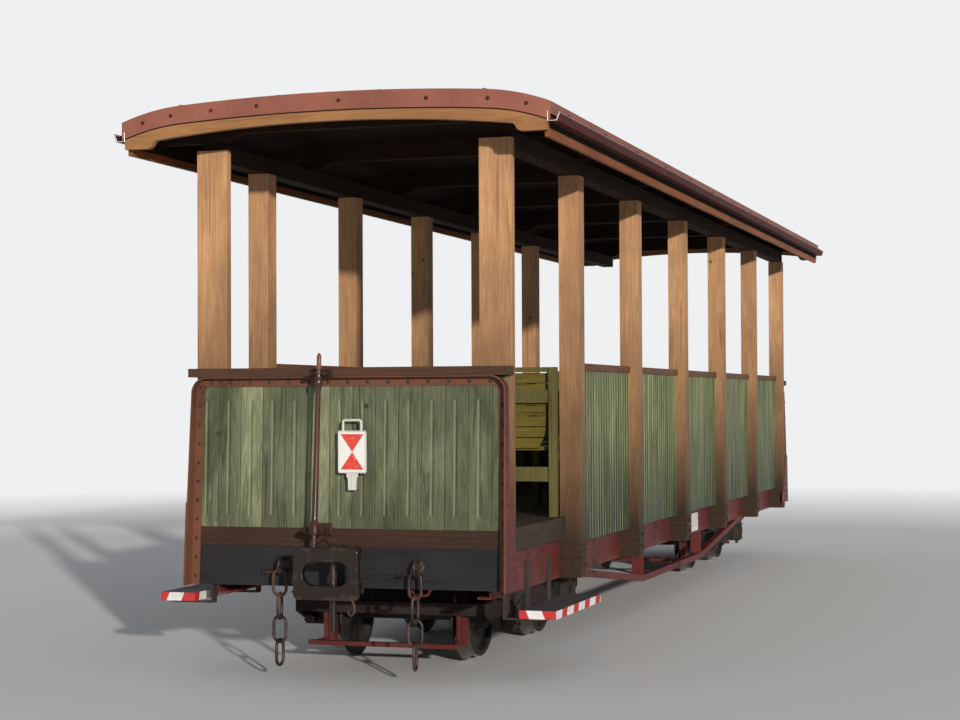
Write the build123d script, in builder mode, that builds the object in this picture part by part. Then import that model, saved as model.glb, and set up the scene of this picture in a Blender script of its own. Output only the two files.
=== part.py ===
from build123d import *
import math
import os

# Open-sided summer coach of a 760 mm gauge railway, in millimetres.
# X runs across the car, Y along it with the brake end at -Y, and Z up.
# The origin is the middle of the footprint, level with the bottom of the wheel flanges.
os.makedirs("parts", exist_ok=True)

# Running gear
gauge = 760
gauge_play = 12
flange_depth = 28
rail_top = flange_depth
wheel_dia = 520
flange_width = 30
wheel_width = 112
hub_dia = 170
hub_out_length = 30
axle_dia = 100
journal_dia = 76
running_gap = 0.3
seam_gap = 0.3
bearing_gap = 0.05
wheelbase = 1300
bogie_inset = 1650

# Body, measured from the front faces of the front corner posts
body_length = 9680
half_length = body_length / 2
body_width = 1908
half_width = body_width / 2
post_side = 130
corner_board_width = 190
corner_board_thick = 50
right_door_pitch = 1448
right_bays = 5
left_door_pitch = 713
left_pitch = 1490
left_pitches = 5

# Underframe, heights above the rails
sill_low = rail_top + 445
sill_height = 240
sill_web = 10
sill_flange = 80
sill_flange_thick = 13
sill_face = half_width - post_side
headstock_low = rail_top + 500
headstock_height = 228
headstock_depth = 73
headstock_half = 924
centre_sill_offset = 170
centre_sill_width = 60
centre_sill_height = 120
bearer_width = 90
bearer_height = 150
queen_offset = 1080
truss_start = 2040
truss_low = rail_top + 212
truss_bar_height = 46
truss_bar_width = 50
queen_width = 85
queen_thick = 16
bolster_width = 220
bolster_height = 190
pivot_dia = 260

# Floor
bearer_row_width = 60
bearer_row_height = 90
floor_thick = 45
side_beam_thick = 36
inner_bearer_offset = 300

# Side walls
board_thick = 24
board_face = 884
board_low = rail_top + 645
waist_low = rail_top + 1735
waist_height = 45
waist_out = 12
batten_height = 60
post_low = rail_top + 444
pocket_steel = 8
pocket_height = 76
pocket_lows = (rail_top + 486, rail_top + 567)

# End walls
end_lean = 2.17
end_low = rail_top + 498
end_high = rail_top + 1686
end_half_low = 960
end_half_high = 942
end_face_out = 82
end_steel = 8
end_band = 56
end_corner = 90
rim_lean = 3.85
rim_out = 180
end_rail_high = rail_top + 1735
end_rail_half = 962
end_rail_front = 108
bottom_rail_height = 102
gusset_thick = 6
gusset_back = 177
gusset_middle_back = 45
gusset_high = rail_top + 680
gusset_middle_high = rail_top + 970

# Roof
plate_low = rail_top + 2920
plate_height = 130
plate_width = 110
roof_crown = rail_top + 3251
roof_main_radius = 13000
roof_side_radius = 1270
roof_main_half = 900
roof_half = 1268
roof_overhang = 330
sheet_thick = 4
deck_thick = 20
bow_depth = 100
bow_thick = 70
bow_shoulder = 800
bow_half = 1225
arch_thick = 40
arch_neck = 1040
arch_step = 1110
arch_low = rail_top + 2985
arch_neck_low = rail_top + 3032
arch_mid_low = rail_top + 3092
eave_low = rail_top + 2953
eave_thick = 25
eave_high = rail_top + 3116
flashing_drop = 100
roof_seam = 300
main_boards = 9
side_boards_across = 3
gutter_wall = 4
gutter_floor = 52
gutter_flare = 16
gutter_low = rail_top + 3030
gutter_back_high = rail_top + 3086
gutter_lip_high = rail_top + 3074

# Benches
aisle_half = 275
bench_half = 815
bench_stile = 48
bench_top = rail_top + 1752
bench_rail_thick = 25
bench_rails = ((rail_top + 1530, 80), (rail_top + 1040, 90), (rail_top + 1722, 30))
back_low = rail_top + 1280
back_high = rail_top + 1716
back_thick = 20
back_corner = 90
seat_high = rail_top + 1255
seat_thick = 24
seat_depth = 400
seat_bearer = 50
bench_clear = 22

# Draw gear
coupler_out = 400
coupler_width = 380
coupler_height = 286
coupler_thick = 46
coupler_corner = 28
coupler_mid = rail_top + 603
slot_width = 272
slot_height = 128
shank_width = 150
pin_dia = 44
chain_offsets = (-378, 430)
chain_wire = 16
link_corner = 30
link_length = 162
link_width = 94
link_count = 4
chain_top = rail_top + 606
chain_out = 70
eye_plate = 14

# Hand brake
brake_offset = -125
brake_shaft_dia = 36
brake_head_dia = 24
brake_grip_high = rail_top + 1815
brake_shaft_low = rail_top + 640
brake_out = 205
brake_clamp_half = 60

# Tail marker
marker_offset = 50
marker_low = rail_top + 1142
marker_height = 239
marker_width = 170
marker_thick = 4
marker_out = 120
marker_grip = 65
marker_stem = 60
marker_drop = 98
marker_socket = 70

# Steps
step_thick = 47
step_inner = 925
step_outer = 1140
hanger_width = 60
hanger_steel = 10

# Bogies
side_plate_offset = 600
side_plate_thick = 20
bogie_half = 1020
bogie_top = rail_top + 432
bogie_belly = rail_top + 190
bogie_end_low = rail_top + 280
bogie_end_high = rail_top + 352
top_half = 480
horn_width = 150
horn_top = rail_top + 352
box_low = rail_top + 172
box_length = 136
box_cover = 12
transom_half = 140
transom_low = rail_top + 250
pivot_plate = 20
end_bar_depth = 60
leaf_halves = (90, 160, 230, 300)
leaf_thick = 10
spring_width = 58
brake_beam_out = 1140
brake_beam_low = rail_top + 100
brake_beam_height = 26
brake_beam_depth = 40
brake_beam_half = 470
shoe_gap = 6
shoe_width = 70
shoe_thick = 56
shoe_height = 190
shoe_reach = 272
shoe_arm = 26

# Places worked out from the sizes above
floor_low = sill_low + sill_height + bearer_row_height
floor_high = floor_low + floor_thick
front = -half_length
rear = half_length
wheel_radius = wheel_dia / 2
flange_radius = wheel_radius + flange_depth
axle_high = rail_top + wheel_radius
back_to_back = gauge - 2 * flange_width - gauge_play
wheel_in = back_to_back / 2
wheel_out = wheel_in + wheel_width
hub_out = wheel_out + hub_out_length
axle_end = side_plate_offset + box_length / 2 - box_cover
end_foot = headstock_low + headstock_height
end_rail_foot = end_foot + bottom_rail_height
right_pitch = (body_length - post_side - right_door_pitch) / right_bays
right_posts = [front + right_door_pitch + right_pitch * step for step in range(right_bays + 1)]
left_posts = [front + left_door_pitch + left_pitch * step for step in range(left_pitches + 1)]
bogie_places = (front + bogie_inset, rear - bogie_inset)
sides = (("left", -1), ("right", 1))
ends = (("front", -1), ("rear", 1))
side_posts = {"left": left_posts, "right": right_posts}
pocket_posts = {"left": left_posts, "right": right_posts[:-1]}


def save(piece, label):
    piece.label = label
    export_step(piece, f"parts/{label}.step")


def block(low, high):
    """A squared timber or plate between two corners, added to the part being built."""
    size = [abs(b - a) for a, b in zip(low, high)]
    middle = [(a + b) / 2 for a, b in zip(low, high)]
    with Locations(tuple(middle)):
        Box(*size)


def end_plane(end, out, height, lean=0.0):
    """A plane across the car that faces out of one end, with its y axis upwards."""
    turn = math.radians(lean)
    return Plane(
        origin=(0, end * (half_length + out), height),
        x_dir=(-end, 0, 0),
        z_dir=(0, end * math.cos(turn), math.sin(turn)),
    )


def roof_drop(across):
    """How far the roof's top lies below its crown at a distance from the middle."""
    across = abs(across)
    main_drop = roof_main_radius - math.sqrt(roof_main_radius**2 - min(across, roof_main_half) ** 2)
    turn = math.asin(roof_main_half / roof_main_radius)
    past = max(across - roof_main_half, 0) + roof_side_radius * math.sin(turn)
    return main_drop + roof_side_radius * math.cos(turn) - math.sqrt(roof_side_radius**2 - past**2)


def roof_arc(start, stop, below):
    """The roof's section between two distances from the middle, a distance below its top."""
    middle = (start + stop) / 2
    return ThreePointArc(*[(across, roof_crown - roof_drop(across) - below) for across in (start, middle, stop)])


def board_edges():
    """Where the flat roof boards meet, from the left eave to the right one."""
    main = [roof_main_half * (2 * step / main_boards - 1) for step in range(main_boards + 1)]
    share = (deck_half - roof_main_half) / side_boards_across
    right = [roof_main_half + share * (step + 1) for step in range(side_boards_across)]
    return [-across for across in reversed(right)] + main + right


def board_line(half, below):
    """Points along the boards from left to right, no further out than half, below the roof's top."""
    edges = board_edges()
    points = []
    for inner, outer in zip(edges, edges[1:]):
        for across in (inner, outer):
            held = max(-half, min(half, across))
            share = (held - inner) / (outer - inner)
            drop = roof_drop(inner) + share * (roof_drop(outer) - roof_drop(inner))
            if inner <= held <= outer and (not points or held > points[-1][0]):
                points.append((held, roof_crown - drop - below))
    return points


def seamed(start, stop):
    """A line's two ends, each drawn in by half a seam."""
    share = seam_gap / 2 / abs(stop[0] - start[0])
    return [tuple(a + (b - a) * share for a, b in zip(*pair)) for pair in ((start, stop), (stop, start))]


# Side sills: rolled channels with their flanges towards the middle
with BuildPart() as sill:
    for side_name, side in sides:
        with BuildSketch(Plane.XZ.offset(-rear)):
            with BuildLine():
                web_face = side * (sill_face - sill_web)
                flange_in = side * (sill_face - sill_flange)
                face = side * sill_face
                high = sill_low + sill_height
                Polyline(
                    (face, sill_low),
                    (face, high),
                    (flange_in, high),
                    (flange_in, high - sill_flange_thick),
                    (web_face, high - sill_flange_thick),
                    (web_face, sill_low + sill_flange_thick),
                    (flange_in, sill_low + sill_flange_thick),
                    (flange_in, sill_low),
                    close=True,
                )
            make_face()
        extrude(amount=body_length)
save(sill.part, "sills")

# Headstocks across both ends
with BuildPart() as headstock:
    for end_name, end in ends:
        with BuildSketch(end_plane(end, 0, headstock_low + headstock_height / 2)):
            Rectangle(2 * headstock_half, headstock_height)
        extrude(amount=headstock_depth)
save(headstock.part, "headstocks")

# Centre sills, with the cross bearers and body bolsters welded in between the sills
bearer_high = sill_low + sill_height
inner_face = sill_face - sill_web
flange_high = bearer_high - sill_flange_thick
with BuildPart() as centre_sills:
    for across in (-centre_sill_offset, centre_sill_offset):
        block(
            (across - centre_sill_width / 2, front, bearer_high - centre_sill_height),
            (across + centre_sill_width / 2, rear, bearer_high),
        )
save(centre_sills.part, "centre_sills")

centre_in = centre_sill_offset - centre_sill_width / 2
centre_out = centre_sill_offset + centre_sill_width / 2
bearer_table = (
    # place along the car, width along it and depth
    *[(place, bearer_width, bearer_height) for place in (-queen_offset, 0, queen_offset)],
    *[(place, bolster_width, bolster_height) for place in bogie_places],
)
with BuildPart() as cross_frame:
    for place, width, depth in bearer_table:
        for start, stop in ((-inner_face, -centre_out), (-centre_in, centre_in), (centre_out, inner_face)):
            block((start, place - width / 2, bearer_high - depth), (stop, place + width / 2, flange_high))
save(cross_frame.part, "cross_frame")

# Truss bars under the sills, each with its two queen posts
with BuildPart() as truss:
    for side_name, side in sides:
        outer = side * sill_face
        inner = side * (sill_face - truss_bar_width)
        with BuildSketch(Plane.YZ.offset(min(outer, inner))):
            with BuildLine():
                toe = half_length - truss_start
                slope = (sill_low - truss_low - truss_bar_height) / (toe - queen_offset)
                knee = toe + truss_bar_height / slope
                Polyline(
                    (-knee, sill_low),
                    (-queen_offset, truss_low),
                    (queen_offset, truss_low),
                    (knee, sill_low),
                    (toe, sill_low),
                    (queen_offset, truss_low + truss_bar_height),
                    (-queen_offset, truss_low + truss_bar_height),
                    (-toe, sill_low),
                    close=True,
                )
            make_face()
        extrude(amount=truss_bar_width)
        for place in (-queen_offset, queen_offset):
            block(
                (outer, place - queen_thick / 2, truss_low + truss_bar_height),
                (side * (sill_face - queen_width), place + queen_thick / 2, sill_low),
            )
save(truss.part, "trusses")

# Floor bearers along the car, the beams along its edges and the boards on them
with BuildPart() as floor_bearers:
    for middle in (
        -sill_face + bearer_row_width / 2,
        -inner_bearer_offset,
        inner_bearer_offset,
        sill_face - bearer_row_width / 2,
    ):
        block(
            (middle - bearer_row_width / 2, front + corner_board_thick, bearer_high),
            (middle + bearer_row_width / 2, rear, floor_low),
        )
save(floor_bearers.part, "floor_bearers")

with BuildPart() as floor_deck:
    block((-sill_face, front + corner_board_thick, floor_low), (sill_face, rear, floor_high))
save(floor_deck.part, "floor_deck")

with BuildPart() as side_beams:
    for side_name, side in sides:
        places = [front + corner_board_thick - post_side] + side_posts[side_name] + [rear]
        for start, stop in zip(places, places[1:]):
            if stop > start + post_side:
                block(
                    (side * sill_face, start + post_side, bearer_high),
                    (side * (sill_face + side_beam_thick), stop, floor_high),
                )
save(side_beams.part, "side_beams")

# Posts: squared timbers outside the sills, and a board at each front corner
for side_name, side in sides:
    with BuildPart() as posts:
        for place in side_posts[side_name]:
            block((side * sill_face, place, post_low), (side * half_width, place + post_side, plate_low))
        block(
            (side * (half_width - corner_board_width), front, bearer_high),
            (side * half_width, front + corner_board_thick, plate_low),
        )
    save(posts.part, f"posts_{side_name}")

# Stake pockets: steel straps that hold the posts to the sills
with BuildPart() as pockets:
    for side_name, side in sides:
        for place in pocket_posts[side_name]:
            for low in pocket_lows:
                block(
                    (side * sill_face, place - pocket_steel, low),
                    (side * (half_width + pocket_steel), place + post_side + pocket_steel, low + pocket_height),
                )
        with BuildSketch(Plane.XY.offset(post_low)):
            with Locations(*[
                (side * (sill_face + half_width) / 2, place + post_side / 2) for place in side_posts[side_name]
            ]):
                Rectangle(post_side, post_side)
        extrude(amount=board_low - post_low, mode=Mode.SUBTRACT)
save(pockets.part, "stake_pockets")

# Boarded panels between the posts, with their battens and waist rails
for side_name, side in sides:
    bays = [(a + post_side, b) for a, b in zip(side_posts[side_name], side_posts[side_name][1:])]
    with BuildPart() as boards:
        for start, stop in bays:
            block((side * (board_face - board_thick), start, board_low), (side * board_face, stop, waist_low))
    save(boards.part, f"side_boards_{side_name}")
    with BuildPart() as rails:
        for start, stop in bays:
            block(
                (side * (sill_face + waist_out), start, waist_low),
                (side * (board_face + waist_out), stop, waist_low + waist_height),
            )
            block(
                (side * sill_face, start, waist_low - batten_height),
                (side * (board_face - board_thick), stop, waist_low),
            )
    save(rails.part, f"waist_rails_{side_name}")

# End walls: a riveted steel frame, boards, a bottom rail and a wooden top rail
lean_cosine = math.cos(math.radians(end_lean))
lean_sine = math.sin(math.radians(end_lean))
end_rise = (end_high - end_low) / lean_cosine
rail_foot = (end_foot + board_thick * lean_sine - end_low) / lean_cosine
frame_legs = (
    # width seen from the end, reach along the car
    (end_steel, rim_out),
    (end_band, end_steel),
)
for end_name, end in ends:
    with BuildPart() as end_frame:
        for leg_width, reach in frame_legs:
            with BuildSketch(end_plane(end, end_face_out, end_low, end_lean)) as outline:
                Polygon(
                    (-end_half_low, -end_band),
                    (-end_half_high, end_rise),
                    (end_half_high, end_rise),
                    (end_half_low, -end_band),
                    align=None,
                )
                fillet(outline.vertices().sort_by(Axis.Y)[-2:], end_corner)
                offset(amount=-leg_width, mode=Mode.SUBTRACT)
                with Locations((0, end_rise / 2)):
                    Rectangle(2 * end_half_low, end_rise, mode=Mode.INTERSECT)
            extrude(amount=reach, dir=(0, end, 0))
        split(bisect_by=end_plane(end, rim_out, end_low, rim_lean), keep=Keep.BOTTOM)
        for side in (-1, 1):
            with BuildSketch(Plane.YZ.offset(side * (half_width + running_gap))):
                Polygon(
                    (end * (half_length + rim_out), end_low),
                    (end * (half_length - gusset_back), end_low),
                    (end * (half_length - gusset_back), gusset_high - gusset_back / 2),
                    (end * (half_length - gusset_middle_back), gusset_high),
                    (end * (half_length + end_face_out / 2), gusset_middle_high),
                    (end * (half_length + rim_out * 0.8), gusset_middle_high),
                    align=None,
                )
            extrude(amount=side * gusset_thick)
    save(end_frame.part, f"end_frame_{end_name}")

    wall_plane = end_plane(end, end_face_out, end_low, end_lean)
    wall_half = end_half_high - end_steel
    with BuildPart() as end_boards:
        with BuildSketch(wall_plane):
            with Locations((0, rail_foot + bottom_rail_height)):
                Rectangle(
                    2 * wall_half,
                    end_rise - end_steel - rail_foot - bottom_rail_height,
                    align=(Align.CENTER, Align.MIN),
                )
        extrude(amount=-board_thick)
    save(end_boards.part, f"end_boards_{end_name}")

    with BuildPart() as end_rails:
        with BuildSketch(wall_plane):
            with Locations((0, rail_foot)):
                Rectangle(2 * wall_half, bottom_rail_height, align=(Align.CENTER, Align.MIN))
        extrude(amount=-board_thick)
        with BuildSketch(end_plane(end, 0, (end_high + end_rail_high) / 2)):
            Rectangle(2 * end_rail_half, end_rail_high - end_high)
        extrude(amount=end_rail_front)
    save(end_rails.part, f"end_rails_{end_name}")

# Wall plates on the posts
arch_out = roof_overhang - sheet_thick - arch_thick
plate_high = plate_low + plate_height
with BuildPart() as wall_plates:
    for side_name, side in sides:
        middle = side * (sill_face + half_width) / 2
        block(
            (middle - plate_width / 2, front, plate_low),
            (middle + plate_width / 2, rear, plate_high),
        )
save(wall_plates.part, "wall_plates")

# Roof bows over the front corner boards and the right-hand posts
deck_below = sheet_thick
bow_below = sheet_thick + deck_thick
bow_inset = (post_side - bow_thick) / 2
deck_half = bow_half + eave_thick
bow_low = roof_crown - roof_drop(bow_shoulder) - bow_below - bow_depth
with BuildPart() as bows:
    for place in [front] + right_posts:
        with BuildSketch(Plane.XZ.offset(-place - bow_inset)):
            with BuildLine():
                Polyline(
                    *board_line(bow_half, bow_below),
                    (bow_half, plate_high),
                    (bow_shoulder, plate_high),
                    (bow_shoulder - bow_depth, bow_low),
                    (bow_depth - bow_shoulder, bow_low),
                    (-bow_shoulder, plate_high),
                    (-bow_half, plate_high),
                    close=True,
                )
            make_face()
        extrude(amount=-bow_thick)
save(bows.part, "roof_bows")

# Arched fascias across both ends of the roof, with an S-curve down to each end block
ogee_middle = ((arch_step + arch_neck) / 2, (arch_low + arch_neck_low) / 2)
with BuildPart() as arches:
    for end_name, end in ends:
        with BuildSketch(end_plane(end, arch_out, 0)):
            with BuildLine():
                top = Polyline(*board_line(deck_half, bow_below))
                for side, corner in ((-1, top @ 0), (1, top @ 1)):
                    Polyline(corner, (side * deck_half, arch_low), (side * arch_step, arch_low))
                    fall = TangentArc(
                        (side * arch_step, arch_low),
                        (side * ogee_middle[0], ogee_middle[1]),
                        tangent=(-side, 0),
                    )
                    TangentArc(fall @ 1, (side * arch_neck, arch_neck_low), tangent=fall % 1)
                ThreePointArc((-arch_neck, arch_neck_low), (0, arch_mid_low), (arch_neck, arch_neck_low))
            make_face()
        extrude(amount=arch_thick)
save(arches.part, "end_arches")

# Eave boards hung on the bows' ends
with BuildPart() as eaves:
    for side_name, side in sides:
        block(
            (side * bow_half, front - arch_out, eave_low),
            (side * deck_half, rear + arch_out, eave_high),
        )
save(eaves.part, "eave_boards")

# Flat roof boards along the car, and the seamed metal sheet over them
roof_run = body_length + 2 * (roof_overhang - sheet_thick)
with BuildPart() as deck:
    highs = board_line(deck_half, deck_below)
    lows = board_line(deck_half, bow_below)
    for high_a, high_b, low_a, low_b in zip(highs, highs[1:], lows, lows[1:]):
        with BuildSketch(Plane.XZ.offset(-roof_run / 2)):
            Polygon(*seamed(high_a, high_b), *seamed(low_b, low_a), align=None)
        extrude(amount=roof_run)
save(deck.part, "roof_deck")

sheet_edges = (-roof_half, -roof_main_half, -roof_seam, roof_seam, roof_main_half, roof_half)
with BuildPart() as sheet:
    for start, stop in zip(sheet_edges, sheet_edges[1:]):
        with BuildSketch(Plane.XZ.offset(-roof_run / 2)):
            with BuildLine():
                high = roof_arc(start + seam_gap / 2, stop - seam_gap / 2, 0)
                low = roof_arc(start + seam_gap / 2, stop - seam_gap / 2, deck_below)
                Line(high @ 0, low @ 0)
                Line(high @ 1, low @ 1)
            make_face()
        extrude(amount=roof_run)
save(sheet.part, "roof_sheet")

# Flashings turned down over both ends of the roof
with BuildPart() as flashings:
    for end_name, end in ends:
        with BuildSketch(end_plane(end, roof_overhang - sheet_thick, 0)):
            with BuildLine():
                for below in (0, flashing_drop):
                    left = roof_arc(-roof_half, -roof_main_half, below)
                    crown = roof_arc(-roof_main_half, roof_main_half, below)
                    right = roof_arc(roof_main_half, roof_half, below)
                for side in (-1, 1):
                    high = roof_crown - roof_drop(roof_half)
                    Line((side * roof_half, high), (side * roof_half, high - flashing_drop))
            make_face()
        extrude(amount=sheet_thick)
save(flashings.part, "roof_flashings")

# Folded gutters along both eaves: a back, a floor and a flared front
with BuildPart() as gutters:
    for side_name, side in sides:
        back = deck_half + running_gap
        lip = back + gutter_floor
        strips = (
            # the four corners of each strip, as distance from the middle and height
            (
                (back, gutter_low),
                (back, gutter_back_high),
                (back + gutter_wall, gutter_back_high),
                (back + gutter_wall, gutter_low),
            ),
            (
                (back + gutter_wall + seam_gap, gutter_low),
                (back + gutter_wall + seam_gap, gutter_low + gutter_wall),
                (lip, gutter_low + gutter_wall),
                (lip, gutter_low),
            ),
            (
                (lip + seam_gap, gutter_low),
                (lip + seam_gap + gutter_flare, gutter_lip_high),
                (lip + seam_gap + gutter_flare + gutter_wall, gutter_lip_high),
                (lip + seam_gap + gutter_wall, gutter_low),
            ),
        )
        for strip in strips:
            with BuildSketch(Plane.XZ.offset(-roof_run / 2)):
                Polygon(*[(side * across, high) for across, high in strip], align=None)
            extrude(amount=roof_run)
save(gutters.part, "gutters")

# Benches across the car, one row at each right-hand post
first_row = right_posts[0] - bench_stile / 2
bench_rows = [
    # middle of the row's frame, which ways its seats face
    (first_row, (1,)),
    *[(place + post_side / 2, (-1, 1)) for place in right_posts[1:-1]],
    (right_posts[-1] + post_side / 2, (-1,)),
]
seat_low = seat_high - seat_thick
with BuildPart() as frames:
    for side_name, side in sides:
        for place, ways in bench_rows:
            for edge in (aisle_half, bench_half - bench_stile):
                block(
                    (side * edge, place - bench_stile / 2, floor_high),
                    (side * (edge + bench_stile), place + bench_stile / 2, bench_top),
                )
            for low, height in bench_rails:
                block(
                    (side * (aisle_half + bench_stile), place - bench_rail_thick / 2, low),
                    (side * (bench_half - bench_stile), place + bench_rail_thick / 2, low + height),
                )
save(frames.part, "bench_frames")

with BuildPart() as legs:
    for side_name, side in sides:
        for place, ways in bench_rows:
            for way in ways:
                for edge in (aisle_half, bench_half - bench_stile):
                    with BuildSketch(Plane.YZ.offset(side * edge)):
                        Polygon(
                            (place + way * bench_stile / 2, seat_low),
                            (place + way * bench_stile / 2, seat_low - seat_bearer),
                            (place + way * (seat_depth - bench_stile), seat_low - seat_bearer),
                            (place + way * (seat_depth - bench_stile), floor_high),
                            (place + way * seat_depth, floor_high),
                            (place + way * seat_depth, seat_low),
                            align=None,
                        )
                    extrude(amount=side * bench_stile)
save(legs.part, "bench_legs")

with BuildPart() as panels:
    for side_name, side in sides:
        for place, ways in bench_rows:
            for way in ways:
                near = place + way * bench_stile / 2
                with BuildSketch(Plane.XZ.offset(-near)) as back_sketch:
                    with Locations((side * (aisle_half + bench_half) / 2, (back_low + back_high) / 2)):
                        Rectangle(bench_half - aisle_half - 2 * bench_clear, back_high - back_low)
                    chamfer(back_sketch.vertices().sort_by(Axis.Y)[:2], back_corner)
                extrude(amount=-way * back_thick)
                block(
                    (side * aisle_half, near, seat_low),
                    (side * bench_half, place + way * (seat_depth + bench_clear), seat_high),
                )
save(panels.part, "bench_panels")

# Buffing plates with their coupling slots, shanks and pins
plate_back = coupler_out - coupler_thick
lip = (coupler_height - slot_height) / 2
shank_thick = lip / 2
pin_out = plate_back - shank_width / 2
pin_foot = coupler_mid - slot_height / 2 - lip / 4
pin_top = coupler_mid + slot_height / 2 + lip * 3 / 4
with BuildPart() as coupler:
    for end_name, end in ends:
        with BuildSketch(end_plane(end, plate_back, coupler_mid)) as plate:
            Rectangle(coupler_width, coupler_height)
            chamfer(plate.vertices(), coupler_corner)
            SlotOverall(slot_width, slot_height, mode=Mode.SUBTRACT)
        extrude(amount=coupler_thick)
        with BuildSketch(end_plane(end, headstock_depth, coupler_mid)):
            with Locations((0, (slot_height + lip) / 2), (0, -(slot_height + lip) / 2)):
                Rectangle(shank_width, shank_thick)
        extrude(amount=plate_back - headstock_depth)
        with Locations((0, end * (half_length + pin_out), coupler_mid)):
            Cylinder(
                pin_dia / 2 + running_gap,
                coupler_height,
                align=(Align.CENTER, Align.CENTER, Align.MIN),
                mode=Mode.SUBTRACT,
            )
save(coupler.part, "couplers")

with BuildPart() as pins:
    for end_name, end in ends:
        with Locations((0, end * (half_length + pin_out), pin_top)):
            Cylinder(pin_dia / 2, pin_top - pin_foot, align=(Align.CENTER, Align.CENTER, Align.MAX))
            Box(pin_dia * 1.5, pin_dia * 1.5, pin_dia / 3, align=(Align.CENTER, Align.CENTER, Align.MIN))
save(pins.part, "coupler_pins")

# Safety chains: links with cut corners that hang from eyes on the headstocks
link_step = link_length - 2 * chain_wire - running_gap
link_planes = (
    # widthwise and facing directions of the even and odd links
    ((1, 0, 0), (0, 1, 0)),
    ((0, 1, 0), (-1, 0, 0)),
)
with BuildPart() as chains:
    for end_name, end in ends:
        hang = end * (half_length + headstock_depth + chain_out)
        for across in chain_offsets:
            for index in range(link_count):
                wide, face = link_planes[index % 2]
                middle = (across, hang, chain_top - link_length / 2 - link_step * index)
                with BuildSketch(Plane(origin=middle, x_dir=wide, z_dir=face)) as link:
                    Rectangle(link_width, link_length)
                    chamfer(link.vertices(), link_corner)
                    offset(amount=-chain_wire, kind=Kind.INTERSECTION, mode=Mode.SUBTRACT)
                extrude(amount=chain_wire / 2, both=True)
            eye_top = chain_top - chain_wire - running_gap
            block(
                (across - eye_plate, end * (half_length + headstock_depth), eye_top - 2 * chain_wire),
                (across + eye_plate, hang + end * chain_wire, eye_top),
            )
save(chains.part, "safety_chains")

# Hand brake column on the front end
brake_clamps = (
    # foot and head of each clamp, how far out it starts
    (end_high, end_rail_high, end_rail_front),
    (end_foot, end_rail_foot, end_face_out),
)
with BuildPart() as brake:
    for foot, head, width in (
        (brake_shaft_low, end_rail_high, brake_shaft_dia),
        (end_rail_high, brake_grip_high, brake_head_dia),
    ):
        with Locations((brake_offset, front - brake_out, foot)):
            Cylinder(width / 2, head - foot, align=(Align.CENTER, Align.CENTER, Align.MIN))
    for low, high, near in brake_clamps:
        block(
            (brake_offset - brake_clamp_half, front - brake_out, low),
            (brake_offset + brake_clamp_half, front - near, high),
        )
save(brake.part, "hand_brake")

# Tail marker: a plate with a stem that drops into a socket on the end boards
marker_top = marker_low + marker_height
marker_foot = marker_low - marker_drop
marker_back = end_face_out - (marker_foot - end_low) * math.tan(math.radians(end_lean)) + running_gap
with BuildPart() as marker:
    with BuildSketch(end_plane(-1, marker_out, 0)) as marker_outline:
        with Locations((marker_offset, marker_low)):
            Rectangle(marker_width, marker_height, align=(Align.CENTER, Align.MIN))
        with Locations((marker_offset, marker_top)):
            Rectangle(marker_width / 2, marker_grip, align=(Align.CENTER, Align.MIN))
            Rectangle(
                marker_width / 2 - marker_grip, marker_grip / 2, align=(Align.CENTER, Align.MIN), mode=Mode.SUBTRACT
            )
        with Locations((marker_offset, marker_low)):
            Rectangle(marker_stem, marker_drop, align=(Align.CENTER, Align.MAX))
    extrude(amount=-marker_thick)
    block(
        (marker_offset - marker_socket / 2, front - marker_out + marker_thick, marker_foot),
        (marker_offset + marker_socket / 2, front - marker_back, marker_low - marker_drop / 3),
    )
save(marker.part, "marker_plate")

# Steps below the doorways and the bent straps that carry them
step_table = (
    # side, start and stop from the body's front, top above the rails
    (1, 200, 1210, 370),
    (-1, -100, 620, 450),
    (-1, body_length - 1210, body_length - 200, 370),
)
strap_table = (
    # side, place from the body's front, foot and head above the rails
    *[(1, place, 323, 605) for place in (220, 680, 1130)],
    *[(-1, body_length - place - hanger_width, 323, 605) for place in (220, 680, 1130)],
    (-1, -80, 403, 500),
    (-1, 540, 403, 605),
)
with BuildPart() as steps:
    for side, start, stop, high in step_table:
        block(
            (side * step_inner, front + start, rail_top + high - step_thick),
            (side * step_outer, front + stop, rail_top + high),
        )
save(steps.part, "steps")

with BuildPart() as hangers:
    for side, start, low, high in strap_table:
        block(
            (side * sill_face, front + start, rail_top + low - hanger_steel),
            (side * (sill_face + hanger_steel), front + start + hanger_width, rail_top + high),
        )
        block(
            (side * sill_face, front + start, rail_top + low - hanger_steel),
            (side * (step_outer - hanger_width), front + start + hanger_width, rail_top + low),
        )
save(hangers.part, "step_hangers")

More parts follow.
